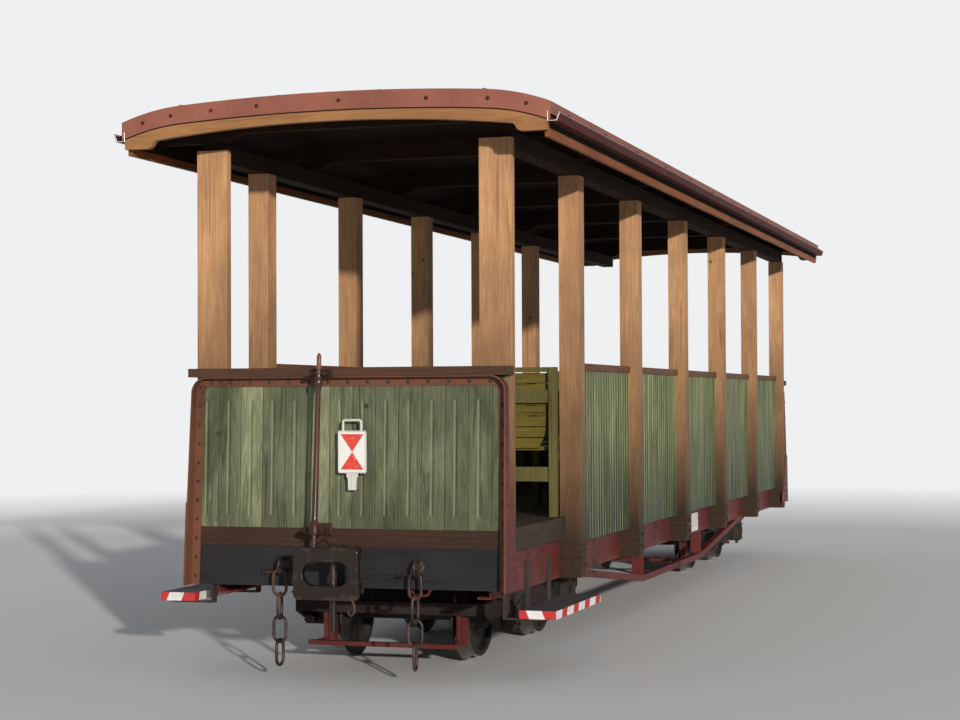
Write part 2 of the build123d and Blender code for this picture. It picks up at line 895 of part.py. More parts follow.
# Bogies: plate frames with leaf springs outside, axle boxes and brake beams
box_out = side_plate_offset + box_length / 2
box_in = side_plate_offset - box_length / 2
plate_out = side_plate_offset + side_plate_thick / 2
plate_in = side_plate_offset - side_plate_thick / 2
pivot_high = bearer_high - bolster_height - running_gap
for (end_name, end), place in zip(ends, bogie_places):
    axles = (place - wheelbase / 2, place + wheelbase / 2)
    with BuildPart() as frame:
        for side in (-1, 1):
            with BuildSketch(Plane.YZ.offset(side * plate_in)):
                Polygon(
                    (place - bogie_half, bogie_end_low),
                    (place - bogie_half, bogie_end_high),
                    (place - top_half, bogie_top),
                    (place + top_half, bogie_top),
                    (place + bogie_half, bogie_end_high),
                    (place + bogie_half, bogie_end_low),
                    (place + wheelbase / 2 + horn_width, bogie_belly),
                    (place - wheelbase / 2 - horn_width, bogie_belly),
                    align=None,
                )
                with Locations(*[(axle_y, bogie_belly) for axle_y in axles]):
                    Rectangle(horn_width, 2 * (horn_top - bogie_belly), mode=Mode.SUBTRACT)
            extrude(amount=side * side_plate_thick)
        block((-plate_in, place - transom_half, transom_low), (plate_in, place + transom_half, bogie_top - pivot_plate))
        with Locations((0, place, bogie_top - pivot_plate)):
            Cylinder(pivot_dia / 2, pivot_high - bogie_top + pivot_plate, align=(Align.CENTER, Align.CENTER, Align.MIN))
        for way in (-1, 1):
            block(
                (-plate_in, place + way * (bogie_half - end_bar_depth), bogie_end_low),
                (plate_in, place + way * bogie_half, bogie_end_high),
            )
    save(frame.part, f"bogie_frame_{end_name}")

    with BuildPart() as boxes:
        for side in (-1, 1):
            for axle_y in axles:
                block(
                    (side * box_in, axle_y - horn_width / 2, box_low),
                    (side * box_out, axle_y + horn_width / 2, horn_top),
                )
                with BuildSketch(Plane.YZ.offset(side * box_in)):
                    with Locations((axle_y, axle_high)):
                        Circle(journal_dia / 2 + bearing_gap)
                extrude(amount=side * (axle_end + running_gap - box_in), mode=Mode.SUBTRACT)
    save(boxes.part, f"axle_boxes_{end_name}")

    with BuildPart() as springs:
        for side in (-1, 1):
            for axle_y in axles:
                for index, leaf_half in enumerate(leaf_halves):
                    block(
                        (side * plate_out, axle_y - leaf_half, horn_top + index * leaf_thick),
                        (side * (plate_out + spring_width), axle_y + leaf_half, horn_top + (index + 1) * leaf_thick),
                    )
    save(springs.part, f"leaf_springs_{end_name}")

    with BuildPart() as brakes:
        for way in (-1, 1):
            beam = place + way * brake_beam_out
            axle_y = place + way * wheelbase / 2
            hanger = place + way * (bogie_half - end_bar_depth / 2)
            block(
                (-brake_beam_half, beam - brake_beam_depth / 2, brake_beam_low),
                (brake_beam_half, beam + brake_beam_depth / 2, brake_beam_low + brake_beam_height),
            )
            for side in (-1, 1):
                shoe_in = side * (wheel_out - shoe_width)
                with BuildSketch(Plane.YZ.offset(shoe_in)):
                    with Locations((axle_y + way * shoe_reach, brake_beam_low)):
                        Rectangle(shoe_thick, shoe_height, align=(Align.CENTER, Align.MIN))
                    with Locations((axle_y, axle_high)):
                        Circle(wheel_radius + shoe_gap, mode=Mode.SUBTRACT)
                extrude(amount=side * shoe_width)
                arm_in = shoe_in + side * (shoe_width - shoe_arm) / 2
                block(
                    (arm_in, axle_y + way * shoe_reach, brake_beam_low),
                    (arm_in + side * shoe_arm, beam, brake_beam_low + brake_beam_height),
                )
                block(
                    (arm_in, hanger - shoe_arm / 2, brake_beam_low),
                    (arm_in + side * shoe_arm, hanger + shoe_arm / 2, bogie_end_low),
                )
    save(brakes.part, f"brake_beams_{end_name}")

# Wheelsets: an axle with its two wheels, turned about the X axis
number = 0
for place in bogie_places:
    for way in (-1, 1):
        number = number + 1
        axle_y = place + way * wheelbase / 2
        with BuildPart() as wheelset:
            with BuildSketch(Plane(origin=(0, axle_y, axle_high), x_dir=(1, 0, 0), z_dir=(0, -1, 0))):
                Polygon(
                    (0, 0),
                    (0, axle_dia / 2),
                    (wheel_in, axle_dia / 2),
                    (wheel_in, flange_radius),
                    (wheel_in + flange_width, wheel_radius),
                    (wheel_out, wheel_radius),
                    (wheel_out, hub_dia / 2),
                    (hub_out, hub_dia / 2),
                    (hub_out, journal_dia / 2),
                    (axle_end, journal_dia / 2),
                    (axle_end, 0),
                    align=None,
                )
            revolve(axis=Axis((0, axle_y, axle_high), (1, 0, 0)))
            mirror(about=Plane.YZ)
        save(wheelset.part, f"wheelset_{number}")
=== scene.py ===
import math
import bpy
import bmesh
from mathutils import Matrix, Vector


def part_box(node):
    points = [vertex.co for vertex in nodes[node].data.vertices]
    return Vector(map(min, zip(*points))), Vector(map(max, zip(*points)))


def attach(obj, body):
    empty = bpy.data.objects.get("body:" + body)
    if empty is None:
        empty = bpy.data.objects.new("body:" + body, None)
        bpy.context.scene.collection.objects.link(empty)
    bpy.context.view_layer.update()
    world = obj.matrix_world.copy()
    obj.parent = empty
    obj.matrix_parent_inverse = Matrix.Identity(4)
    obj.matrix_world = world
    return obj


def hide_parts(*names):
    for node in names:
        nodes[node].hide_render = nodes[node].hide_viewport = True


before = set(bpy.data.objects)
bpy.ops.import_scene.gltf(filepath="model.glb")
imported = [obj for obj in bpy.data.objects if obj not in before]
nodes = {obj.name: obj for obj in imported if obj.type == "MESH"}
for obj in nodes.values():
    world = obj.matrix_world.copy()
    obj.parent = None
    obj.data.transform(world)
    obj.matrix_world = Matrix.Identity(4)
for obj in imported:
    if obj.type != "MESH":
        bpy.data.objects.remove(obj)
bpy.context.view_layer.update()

# Places shared with the CAD model, in metres
ENDS = (("front", -1), ("rear", 1))
SIDES = (("left", -1), ("right", 1))
HALF = 4.84
SILL_FACE = 0.824
POST_SIDE = 0.130
POST_FACE = SILL_FACE + POST_SIDE
RIGHT_POSTS = [1.448 - HALF + 1.6204 * k for k in range(6)]
LEFT_POSTS = [0.713 - HALF + 1.49 * k for k in range(6)]
LEAN = math.radians(2.17)
END_LOW, END_HIGH = 0.526, 1.714
BAND_OUT, RIM_HALF_LOW, RIM_TAPER = 0.090, 0.960, 0.018
ROOF_TOP, ROOF_END, ROOF_EDGE, FLASHING_DROP = 3.279, 5.165, 1.266, 0.100
CROWN_RADIUS, SHOULDER_RADIUS, SHOULDER_START = 13.0, 1.27, 0.9
AXLES = {"front": (-3.84, -2.54), "rear": (2.54, 3.84)}
AXLE_HIGH = 0.288
COUPLER_MIDDLE, COUPLER_WIDE, COUPLER_HIGH = 0.631, 0.380, 0.286
MARKER_X, MARKER_LOW, MARKER_HIGH, MARKER_HALF, MARKER_FRONT = 0.050, 1.170, 1.409, 0.085, -4.960
MARKER_MIDDLE = (MARKER_HIGH + MARKER_LOW) / 2


def band_face(z):
    """How far in front of the end plane the face of the end frame's band lies at a height."""
    return BAND_OUT - (z - END_LOW) * math.tan(LEAN)


def rim_half(z):
    """Half the end frame's width at a height."""
    return RIM_HALF_LOW - RIM_TAPER * (z - END_LOW) / (END_HIGH - END_LOW)


def roof_high(x):
    """The roof's top at a distance from the middle: a flat crown that bends down at each shoulder."""
    x = abs(x)
    crown_drop = CROWN_RADIUS - math.sqrt(CROWN_RADIUS**2 - min(x, SHOULDER_START) ** 2)
    turn = math.asin(SHOULDER_START / CROWN_RADIUS)
    past = max(x - SHOULDER_START, 0) + SHOULDER_RADIUS * math.sin(turn)
    shoulder_drop = SHOULDER_RADIUS * math.cos(turn) - math.sqrt(SHOULDER_RADIUS**2 - past**2)
    return ROOF_TOP - crown_drop - shoulder_drop


# Materials

def lin(r, g, b):
    """An sRGB colour in 0..255 as the linear RGBA that a shader takes."""
    shares = (r / 255, g / 255, b / 255)
    return tuple(c / 12.92 if c <= 0.04045 else ((c + 0.055) / 1.055) ** 2.4 for c in shares) + (1.0,)


def shade(colour, factor):
    """A colour made darker or lighter by a factor."""
    return tuple(c * factor for c in colour[:3]) + (1.0,)


class Nodes:
    """A short way to write the node tree of a material or a world."""

    def __init__(self, owner, output):
        owner.use_nodes = True
        self.owner = owner
        self.tree = owner.node_tree
        self.tree.nodes.clear()
        self.out = self.add(output)

    def link(self, a, b):
        self.tree.links.new(a, b)

    def put(self, socket, value):
        if isinstance(value, bpy.types.NodeSocket):
            self.link(value, socket)
        else:
            socket.default_value = value

    def add(self, kind, inputs=None, **values):
        """A node with its settings. inputs holds a number, a colour or another node's output for each."""
        node = self.tree.nodes.new(kind)
        for key, value in values.items():
            setattr(node, key, value)
        for key, value in (inputs or {}).items():
            self.put(node.inputs[key], value)
        return node

    def coords(self, scale=(1, 1, 1)):
        coord = self.add("ShaderNodeTexCoord")
        inputs = {"Scale": scale, "Vector": coord.outputs["Object"]}
        return self.add("ShaderNodeMapping", inputs).outputs[0]

    def axis(self, name):
        coord = self.add("ShaderNodeTexCoord")
        return self.add("ShaderNodeSeparateXYZ", {0: coord.outputs["Object"]}).outputs[name]

    def facing(self, name):
        """One part of the direction that the surface faces."""
        geometry = self.add("ShaderNodeNewGeometry")
        return self.add("ShaderNodeSeparateXYZ", {0: geometry.outputs["Normal"]}).outputs[name]

    def noise(self, vector, scale, detail, rough, distort=0.0):
        inputs = {
            "Vector": vector, "Scale": scale, "Detail": detail, "Roughness": rough, "Distortion": distort,
        }
        return self.add("ShaderNodeTexNoise", inputs).outputs["Fac"]

    def math(self, op, a, b=0.0, clamp=False):
        return self.add("ShaderNodeMath", {0: a, 1: b}, operation=op, use_clamp=clamp).outputs[0]

    def plus(self, a, b):
        return self.math("ADD", a, b)

    def minus(self, a, b):
        return self.math("SUBTRACT", a, b)

    def times(self, a, b):
        return self.math("MULTIPLY", a, b)

    def size(self, a):
        return self.math("ABSOLUTE", a)

    def less(self, a, b):
        return self.math("LESS_THAN", a, b)

    def within(self, value, middle, half):
        """1 where a value is within half of a middle."""
        return self.less(self.size(self.minus(value, middle)), half)

    def ramp(self, value, *stops):
        node = self.add("ShaderNodeValToRGB", {0: value})
        ramp = node.color_ramp
        while len(ramp.elements) < len(stops):
            ramp.elements.new(0.5)
        for element, (place, colour) in zip(ramp.elements, stops):
            element.position = place
            element.color = colour
        return node.outputs[0]

    def mask(self, value, low, high):
        """0 at low, 1 at high and straight between them."""
        inputs = {"Value": value, "From Min": low, "From Max": high}
        return self.add("ShaderNodeMapRange", inputs, clamp=True).outputs[0]

    def mix(self, factor, a, b):
        return self.add("ShaderNodeMix", {0: factor, 6: a, 7: b}, data_type="RGBA").outputs[2]

    def glow(self, kind, colour, strength):
        return self.add(kind, {"Color": colour, "Strength": strength}).outputs[0]

    def rays(self, *kinds):
        """1 for light rays of these kinds."""
        path = self.add("ShaderNodeLightPath")
        seen = path.outputs[kinds[0]]
        for kind in kinds[1:]:
            seen = self.math("ADD", seen, path.outputs[kind], clamp=True)
        return seen

    def blend(self, factor, a, b):
        """Shows shader a where the factor is 0 and shader b where it is 1."""
        node = self.add("ShaderNodeMixShader", {0: factor, 1: a, 2: b})
        self.link(node.outputs[0], self.out.inputs[0])


class Surface(Nodes):
    """A material with one shader."""

    def __init__(self, name):
        super().__init__(bpy.data.materials.new(name), "ShaderNodeOutputMaterial")
        self.shader = self.add("ShaderNodeBsdfPrincipled")
        self.link(self.shader.outputs[0], self.out.inputs[0])

    def bump(self, height, strength, distance):
        node = self.add("ShaderNodeBump", {"Strength": strength, "Distance": distance, "Height": height})
        self.link(node.outputs[0], self.shader.inputs["Normal"])

    def done(self, colour, rough, metallic=0.0, coat=0.0, specular=0.5):
        """Fills in the shader and gives back the material."""
        inputs = {
            "Base Color": colour, "Roughness": rough, "Metallic": metallic, "Specular IOR Level": specular,
        }
        if coat:
            inputs.update({"Coat Weight": coat, "Coat Roughness": 0.25})
        for key, value in inputs.items():
            self.put(self.shader.inputs[key], value)
        return self.owner


GRAIN = {"X": (1.1, 26, 26), "Y": (26, 1.1, 26), "Z": (26, 26, 1.1)}
FIBRE = {"X": (6, 260, 260), "Y": (260, 6, 260), "Z": (260, 260, 6)}
# Painted shade: the dark bluish green that the side boards' lower parts turn towards.
BLUE_SHADE = lin(58, 70, 58)
# The near-black that a wood's fade blends towards: painted shade on the posts and side boards.
FADE_DARK = lin(14, 11, 9)
GRIME = lin(58, 50, 42)


def grain_scale(along, across_share, along_scale=None):
    """The grain's scale, coarser across it and, where one is given, with its own scale along it."""
    return tuple(across_share * c if c > 2 else along_scale or c for c in GRAIN[along])


def board_grooves(n, axis, pitch, start, half_width):
    """1 in the middle of each groove between boards, falling to 0 at its edges."""
    turn = n.math("DIVIDE", n.minus(n.axis(axis), start), pitch)
    off = n.size(n.minus(n.math("FRACT", n.plus(turn, 0.5)), 0.5))
    return n.mask(n.times(off, pitch), half_width, 0.0)


def board_tones(n, colour, dark, board):
    """Gives each board its own tone."""
    axis, pitch, start, width = board
    index = n.math("FLOOR", n.math("DIVIDE", n.minus(n.axis(axis), start), pitch))
    tone = n.add("ShaderNodeTexWhiteNoise", {"W": index}, noise_dimensions="1D")
    return n.mix(n.times(tone.outputs["Value"], 0.6), colour, shade(dark, 0.8))


def wood_grain(n, light, dark, along, blotch, rings, fibre):
    """The colour of wood with its rings, fibres and weathered patches."""
    half = tuple(0.55 * a + 0.45 * b for a, b in zip(light, dark))
    colour = n.ramp(rings, (0.30, dark), (0.48, light), (0.56, half), (0.74, light))
    colour = n.mix(n.mask(fibre, 0.35, 0.75), colour, n.mix(0.45, colour, dark))
    weather = n.noise(n.coords(grain_scale(along, 0.12)), 1.0, 5.0, 0.6, 0.5)
    darker = n.mix(0.4 * blotch, colour, shade(dark, 0.7))
    colour = n.mix(n.mask(weather, 0.42, 0.66), colour, darker)
    lighter = n.mix(0.35 * blotch, colour, shade(light, 1.35))
    return n.mix(n.mask(weather, 0.40, 0.24), colour, lighter)


def wood(
    name, light, dark, along, rough=0.55, board=None, middle=None, streak=None, cool=None, fade=None,
    knots=0.7, grime=0.25, blotch=1.0, coat=0.0, specular=0.22,
):
    """Glazed softwood: growth rings drawn out along the grain, fine fibres and knots.

    board is (axis, pitch, start, half groove) where the surface is boards side by side, each with its
    own tone and a groove beside it. middle is (low, high): between these heights a board has a groove
    down its middle, with a painted highlight along one side of it. streak is (offset, half width,
    amount) of a painted highlight along each board. cool is (low, high): from high down to low the
    colour turns bluer and darker, a painted shade. fade is (low, high, share): from high down to low
    the colour darkens to that share; on the posts and side boards this is painted shade.
    """
    n = Surface(name)
    rings = n.noise(n.coords(GRAIN[along]), 1.0, 5.0, 0.6, 1.4)
    fibre = n.noise(n.coords(FIBRE[along]), 1.0, 3.0, 0.6)
    colour = wood_grain(n, light, dark, along, blotch, rings, fibre)
    relief = n.plus(n.times(rings, 0.25), n.times(fibre, 0.2))
    if board:
        colour = board_tones(n, colour, dark, board)
    # Painted shade: the colour turns bluer and darker towards the bottom.
    if cool:
        down = n.mask(n.plus(n.axis("Z"), n.times(rings, 0.5)), cool[1] + 0.25, cool[0] + 0.25)
        colour = n.mix(n.times(down, 0.75), colour, BLUE_SHADE)
    # Darker towards the bottom: painted shade on the posts and side boards.
    if fade:
        low, high, share = fade
        down = n.mask(n.plus(n.axis("Z"), n.times(fibre, 0.1)), high + 0.05, low + 0.05)
        colour = n.mix(n.times(down, 1 - share), colour, FADE_DARK)
    if knots:
        where = n.coords(grain_scale(along, 0.11, 2.4))
        spots = n.add("ShaderNodeTexVoronoi", {"Vector": where, "Scale": 1.6})
        knot = n.mask(spots.outputs["Distance"], 0.085, 0.03)
        colour = n.mix(n.times(knot, knots), colour, shade(dark, 0.35))
    if board:
        axis, pitch, start, width = board
        cut = board_grooves(n, axis, pitch, start, width)
        shown = cut
        if streak:
            offset, half_width, amount = streak
            # A painted highlight along each board, beside its groove.
            line = board_grooves(n, axis, pitch, start + offset, half_width)
            lit = n.times(line, n.mask(rings, 0.35, 0.6))
            colour = n.mix(n.times(lit, amount), colour, shade(light, 1.7))
        if middle:
            low, high = middle
            run_out = 0.012
            above = n.mask(n.axis("Z"), low, low + run_out)
            below = n.mask(n.axis("Z"), high, high - run_out)
            inside = n.times(above, below)
            slot = n.times(inside, board_grooves(n, axis, pitch, start + pitch / 2, 0.009))
            # A painted highlight along one side of the middle groove.
            edge = n.times(inside, board_grooves(n, axis, pitch, start + pitch / 2 - 0.011, 0.006))
            colour = n.mix(n.times(edge, 0.4), colour, shade(light, 1.3))
            cut = n.math("MAXIMUM", cut, slot)
            shown = n.math("MAXIMUM", shown, n.times(slot, 0.6))
        colour = n.mix(n.times(shown, 0.7), colour, shade(dark, 0.3))
        relief = n.minus(relief, n.times(cut, 2.5))
    dirt = n.mask(n.noise(n.coords((1.5, 1.5, 1.5)), 1.3, 6.0, 0.65), 0.45, 0.8)
    colour = n.mix(n.times(dirt, grime), colour, GRIME)
    n.bump(relief, 0.45, 0.003 if board else 0.0015)
    return n.done(colour, n.plus(n.times(fibre, 0.25), rough - 0.12), coat=coat, specular=specular)


def paint(name, colour, worn, rough, wear, dust, side=None, coat=0.0, specular=0.3):
    """Brushed paint on steel: slight waves, chips that show rust or primer, and dust.
    side is the colour of the faces that look out from the car's sides."""
    n = Surface(name)
    broad = n.noise(n.coords(), 2.2, 5.0, 0.6)
    fine = n.noise(n.coords(), 38.0, 4.0, 0.6)
    base = colour
    if side:
        outward = n.times(n.facing("X"), n.axis("X"))
        base = n.mix(n.math("GREATER_THAN", outward, 0.6), colour, side)
    tint = n.mix(n.mask(broad, 0.35, 0.7), base, n.mix(0.3, base, (0, 0, 0, 1)))
    bare = 0.22 * wear
    chips = n.mask(n.plus(n.times(broad, 0.5), n.times(fine, 0.6)), 0.72 - bare, 0.76 - bare)
    tint = n.mix(chips, tint, worn)
    dirt = n.mask(n.noise(n.coords((1, 1, 1.6)), 6.0, 6.0, 0.7), 0.45, 0.85)
    tint = n.mix(n.times(dirt, dust), tint, lin(92, 80, 68))
    n.bump(n.plus(n.times(fine, 0.5), n.times(chips, -0.6)), 0.25, 0.0008)
    roughness = n.plus(n.times(fine, 0.3), n.plus(n.times(chips, 0.25), rough - 0.15))
    return n.done(tint, roughness, coat=coat, specular=specular)


def iron(name, base, rust, shine, rusty, rough, edges=()):
    """Bare or greasy iron with rust in patches, more of it near the heights in edges."""
    n = Surface(name)
    patch = n.noise(n.coords(), 9.0, 6.0, 0.65)
    grain = n.noise(n.coords(), 120.0, 3.0, 0.6)
    for height in edges:
        near = n.mask(n.size(n.minus(n.axis("Z"), height)), 0.04, 0.0)
        patch = n.plus(patch, n.times(near, 0.12))
    spread = 0.35 * rusty
    where = n.mask(patch, 0.62 - spread, 0.80 - spread)
    colour = n.mix(where, base, n.mix(n.mask(grain, 0.3, 0.7), rust, shade(rust, 0.6)))
    n.bump(n.plus(n.times(grain, 0.6), n.times(where, 0.5)), 0.4, 0.0008)
    metal = n.times(n.minus(1.0, where), shine)
    return n.done(colour, n.plus(n.times(where, 0.25), rough - 0.1), metallic=metal)


def step_paint():
    """Dark worn planks. Their upright faces are red, with one slanting white band on each end
    and several along the edges."""
    end_band, left_shift, end_half, end_slant = 1.177, 0.062, 0.046, 0.42
    stripe_start, stripe_pitch, white_share, edge_slant = 4.765, 0.253, 0.56, 0.3
    n = Surface("step_paint")
    fine = n.noise(n.coords((60, 4, 60)), 1.0, 4.0, 0.6)
    broad = n.noise(n.coords(), 9.0, 5.0, 0.65)
    top = n.mix(n.mask(fine, 0.4, 0.7), lin(78, 78, 84), lin(48, 48, 54))
    across = n.plus(n.size(n.axis("X")), n.times(n.axis("Z"), end_slant))
    band_middle = n.plus(n.times(n.less(n.axis("X"), 0.0), left_shift), end_band)
    on_end = n.within(across, band_middle, end_half)
    reach = n.minus(stripe_start, n.size(n.axis("Y")))
    along = n.minus(reach, n.times(n.axis("Z"), edge_slant))
    stripe = n.less(n.math("FRACT", n.math("DIVIDE", along, stripe_pitch)), white_share)
    faces_along = n.math("GREATER_THAN", n.size(n.facing("Y")), 0.5)
    white = n.mix(faces_along, stripe, on_end)
    bands = n.mix(white, lin(190, 44, 44), lin(226, 224, 222))
    chips = n.mask(n.noise(n.coords(), 30.0, 5.0, 0.7), 0.60, 0.72)
    bands = n.mix(chips, bands, lin(96, 72, 60))
    bands = n.mix(n.times(n.mask(broad, 0.5, 0.8), 0.4), bands, lin(96, 84, 74))
    upright = n.less(n.size(n.facing("Z")), 0.5)
    n.bump(fine, 0.3, 0.001)
    return n.done(n.mix(upright, top, bands), 0.6)


def marker_paint():
    """A white plate with a grey edge and two scuffed red triangles that meet at its middle."""
    half_high = (MARKER_HIGH - MARKER_LOW) / 2
    rim, side_margin, end_margin = 0.009, 0.016, 0.020
    n = Surface("marker_paint")
    across = n.size(n.minus(n.axis("X"), MARKER_X))
    up = n.size(n.minus(n.axis("Z"), MARKER_MIDDLE))
    scuff = n.noise(n.coords(), 70.0, 6.0, 0.75)
    white = n.mix(n.mask(scuff, 0.55, 0.75), lin(232, 230, 226), lin(190, 186, 180))
    inside = n.times(n.less(across, MARKER_HALF - rim), n.less(up, half_high - rim))
    face = n.mix(inside, lin(178, 180, 182), white)
    slope = (MARKER_HALF - side_margin) / (half_high - end_margin)
    wedge = n.times(n.less(across, n.times(up, slope)), n.less(up, half_high - end_margin))
    red = n.mix(n.mask(scuff, 0.56, 0.62), lin(214, 66, 50), lin(236, 164, 146))
    n.bump(scuff, 0.15, 0.0005)
    return n.done(n.mix(wedge, face, red), 0.35, coat=0.15)


COUPLER_EDGES = (COUPLER_MIDDLE - COUPLER_HIGH / 2, COUPLER_MIDDLE + COUPLER_HIGH / 2)
mats = {
    # The posts darken towards their feet: painted shade. The stake pockets and post bolts share it.
    "posts": wood(
        "post_glaze", lin(218, 168, 122), lin(152, 110, 76), "Z", fade=(0.7, 2.5, 0.07), knots=0.9, grime=0.3,
        blotch=1.2,
    ),
    "rails": wood("rail_glaze_across", lin(92, 62, 47), lin(58, 40, 30), "X", fade=(0.93, 0.99, 0.6)),
    "rails_y": wood("rail_glaze_along", lin(120, 82, 60), lin(78, 52, 38), "Y"),
    "end_boards": wood(
        "end_board_glaze", lin(156, 160, 124), lin(60, 70, 50), "Z", rough=0.5,
        board=("X", 0.137, -0.7965, 0.005), middle=(0.925, 1.583), fade=(0.6, 1.2, 0.8), knots=0.9,
        blotch=2.0,
    ),
    # The side boards: a painted highlight along each board, and painted shade that makes their lower parts
    # darker and bluer.
    "side_boards": wood(
        "side_board_glaze", lin(166, 172, 122), lin(62, 80, 50), "Z", rough=0.5,
        board=("Y", 0.069, 0.0, 0.013), streak=(0.024, 0.012, 0.55), cool=(0.70, 1.45),
        fade=(0.55, 1.4, 0.4), blotch=1.8,
    ),
    "floor": wood(
        "floor_planks", lin(80, 66, 58), lin(50, 42, 36), "Y", rough=0.75, board=("X", 0.16, 0.0, 0.004),
        grime=0.5,
    ),
    "beams": wood("beam_timber", lin(76, 64, 56), lin(46, 38, 34), "Y", rough=0.75, grime=0.4),
    # Near-black: painted shade, as the roof boards, bows and wall plates stand in the shade under the roof.
    "roof_in": wood(
        "roof_board_glaze", lin(50, 36, 28), lin(32, 23, 18), "Y", rough=0.8, board=("X", 0.2, 0.1, 0.004),
        specular=0.08,
    ),
    "bows": wood("bow_glaze", lin(58, 42, 32), lin(36, 26, 20), "X", rough=0.8, specular=0.08),
    "plates": wood("plate_glaze", lin(60, 44, 34), lin(38, 28, 22), "Y", rough=0.8, specular=0.08),
    "trim": wood("fascia_glaze", lin(176, 126, 82), lin(132, 92, 58), "X", rough=0.5, knots=0.3, grime=0.15),
    "eaves": wood("eave_glaze", lin(158, 92, 48), lin(104, 60, 34), "Y", rough=0.5, grime=0.15),
    # Near-black: painted shade, for the eave boards' upper parts in the gutters' shadow and the strip under
    # each flashing.
    "shade_under_eaves": wood("eave_shade", lin(44, 32, 26), lin(28, 21, 17), "Y", rough=0.8, specular=0.08),
    "dark": wood("headstock_paint", lin(44, 43, 46), lin(30, 29, 32), "X", knots=0),
    "slats": wood(
        "slat_varnish", lin(122, 108, 48), lin(76, 68, 28), "X", rough=0.35, knots=0.4, grime=0.2, coat=0.3,
    ),
    "bench": wood("bench_glaze", lin(112, 104, 60), lin(74, 72, 42), "Z", rough=0.5, grime=0.15),
    "roof": paint("roof_sheet_paint", lin(156, 96, 80), lin(112, 68, 56), rough=0.45, wear=0.1, dust=0.2),
    "gutter": paint(
        "gutter_paint", lin(84, 44, 40), lin(64, 38, 34), rough=0.6, wear=0.1, dust=0.05, specular=0.1,
    ),
    # Pale lilac: a painted highlight along the gutters' lips.
    "lip": paint("gutter_lip_paint", lin(190, 160, 164), lin(140, 104, 100), rough=0.35, wear=0.1, dust=0.05),
    "sill": paint("underframe_red", lin(100, 38, 34), lin(54, 34, 29), rough=0.5, wear=0.4, dust=0.3),
    "end_steel": paint(
        "end_frame_brown", lin(116, 74, 55), lin(72, 47, 38), rough=0.45, wear=0.35, dust=0.2,
        side=lin(98, 30, 30),
    ),
    # Near-black red-brown: painted shade, as the bogie frames stand in the shade under the car.
    "bogie": paint("bogie_red", lin(36, 24, 22), lin(28, 22, 20), rough=0.7, wear=0.6, dust=0.3),
    "brake_red": paint("brake_beam_red", lin(92, 34, 29), lin(48, 34, 29), rough=0.5, wear=0.5, dust=0.4),
    "brake": paint(
        "brake_brown", lin(76, 40, 29), lin(44, 30, 25), rough=0.26, wear=0.45, dust=0.05, coat=0.7,
    ),
    "strap": paint("strap_steel", lin(60, 50, 46), lin(84, 60, 48), rough=0.5, wear=0.45, dust=0.3),
    "white": paint("plate_white", lin(224, 223, 216), lin(150, 140, 128), rough=0.4, wear=0.1, dust=0.15),
    "gear": iron(
        "draw_gear_iron", lin(64, 56, 52), lin(86, 56, 42), shine=0.8, rusty=0.12, rough=0.34,
        edges=COUPLER_EDGES,
    ),
    "chain": iron("chain_iron", lin(56, 48, 46), lin(90, 58, 42), shine=0.6, rusty=0.5, rough=0.5),
    "casting": iron("brake_casting", lin(66, 50, 42), lin(80, 50, 38), shine=0.6, rusty=0.4, rough=0.4),
    "rod": iron("brake_rod_iron", lin(140, 92, 62), lin(110, 64, 42), shine=0.6, rusty=0.5, rough=0.4),
    "grease": iron("bogie_iron", lin(40, 35, 32), lin(60, 44, 34), shine=0.3, rusty=0.45, rough=0.65),
    "bolt": iron("bolt_iron", lin(50, 40, 40), lin(78, 50, 44), shine=0.4, rusty=0.5, rough=0.5),
    "wheel": iron("wheel_iron", lin(30, 26, 25), lin(38, 30, 26), shine=0.4, rusty=0.6, rough=0.6),
    "tread": iron("tread_steel", lin(120, 112, 106), lin(88, 66, 52), shine=0.9, rusty=0.15, rough=0.3),
    "pale": iron("zinc_edge", lin(206, 200, 190), lin(170, 150, 130), shine=0.3, rusty=0.3, rough=0.5),
    "steps": step_paint(),
    "marker": marker_paint(),
}

CAD_FINISH = {
    "posts": "posts_left posts_right stake_pockets",
    "rails": "end_rails_front end_rails_rear",
    "rails_y": "waist_rails_left waist_rails_right",
    "end_boards": "end_boards_front end_boards_rear",
    "side_boards": "side_boards_left side_boards_right",
    "floor": "floor_deck",
    "beams": "floor_bearers side_beams",
    "roof_in": "roof_deck",
    "bows": "roof_bows",
    "plates": "wall_plates",
    "trim": "end_arches",
    "eaves": "eave_boards",
    "dark": "headstocks",
    "slats": "bench_panels",
    "bench": "bench_frames bench_legs",
    "roof": "roof_sheet roof_flashings",
    "gutter": "gutters",
    "sill": "sills centre_sills cross_frame trusses",
    "strap": "step_hangers",
    "end_steel": "end_frame_front end_frame_rear",
    "bogie": "bogie_frame_front bogie_frame_rear",
    "brake_red": "brake_beams_front brake_beams_rear",
    "gear": "couplers coupler_pins",
    "chain": "safety_chains",
    "brake": "hand_brake",
    "grease": "axle_boxes_front axle_boxes_rear leaf_springs_front leaf_springs_rear",
    "wheel": "wheelset_1 wheelset_2 wheelset_3 wheelset_4",
    "steps": "steps",
    "marker": "marker_plate",
}
for kind, names in CAD_FINISH.items():
    for name in names.split():
        for place in nodes[name].material_slots:
            place.material = mats[kind]


# Ways to make shapes

def turned(direction):
    """Matrix that turns +Z to a direction."""
    return Vector((0, 0, 1)).rotation_difference(Vector(direction)).to_matrix().to_4x4()


def turns(count):
    """Equal steps around a circle, as angles."""
    return [2 * math.pi * k / count for k in range(count)]


def arc(middle_a, middle_b, radius, start, stop, steps):
    """Points along an arc, angles in degrees."""
    angles = [math.radians(start + (stop - start) * k / (steps - 1)) for k in range(steps)]
    return [(middle_a + radius * math.cos(t), middle_b + radius * math.sin(t)) for t in angles]


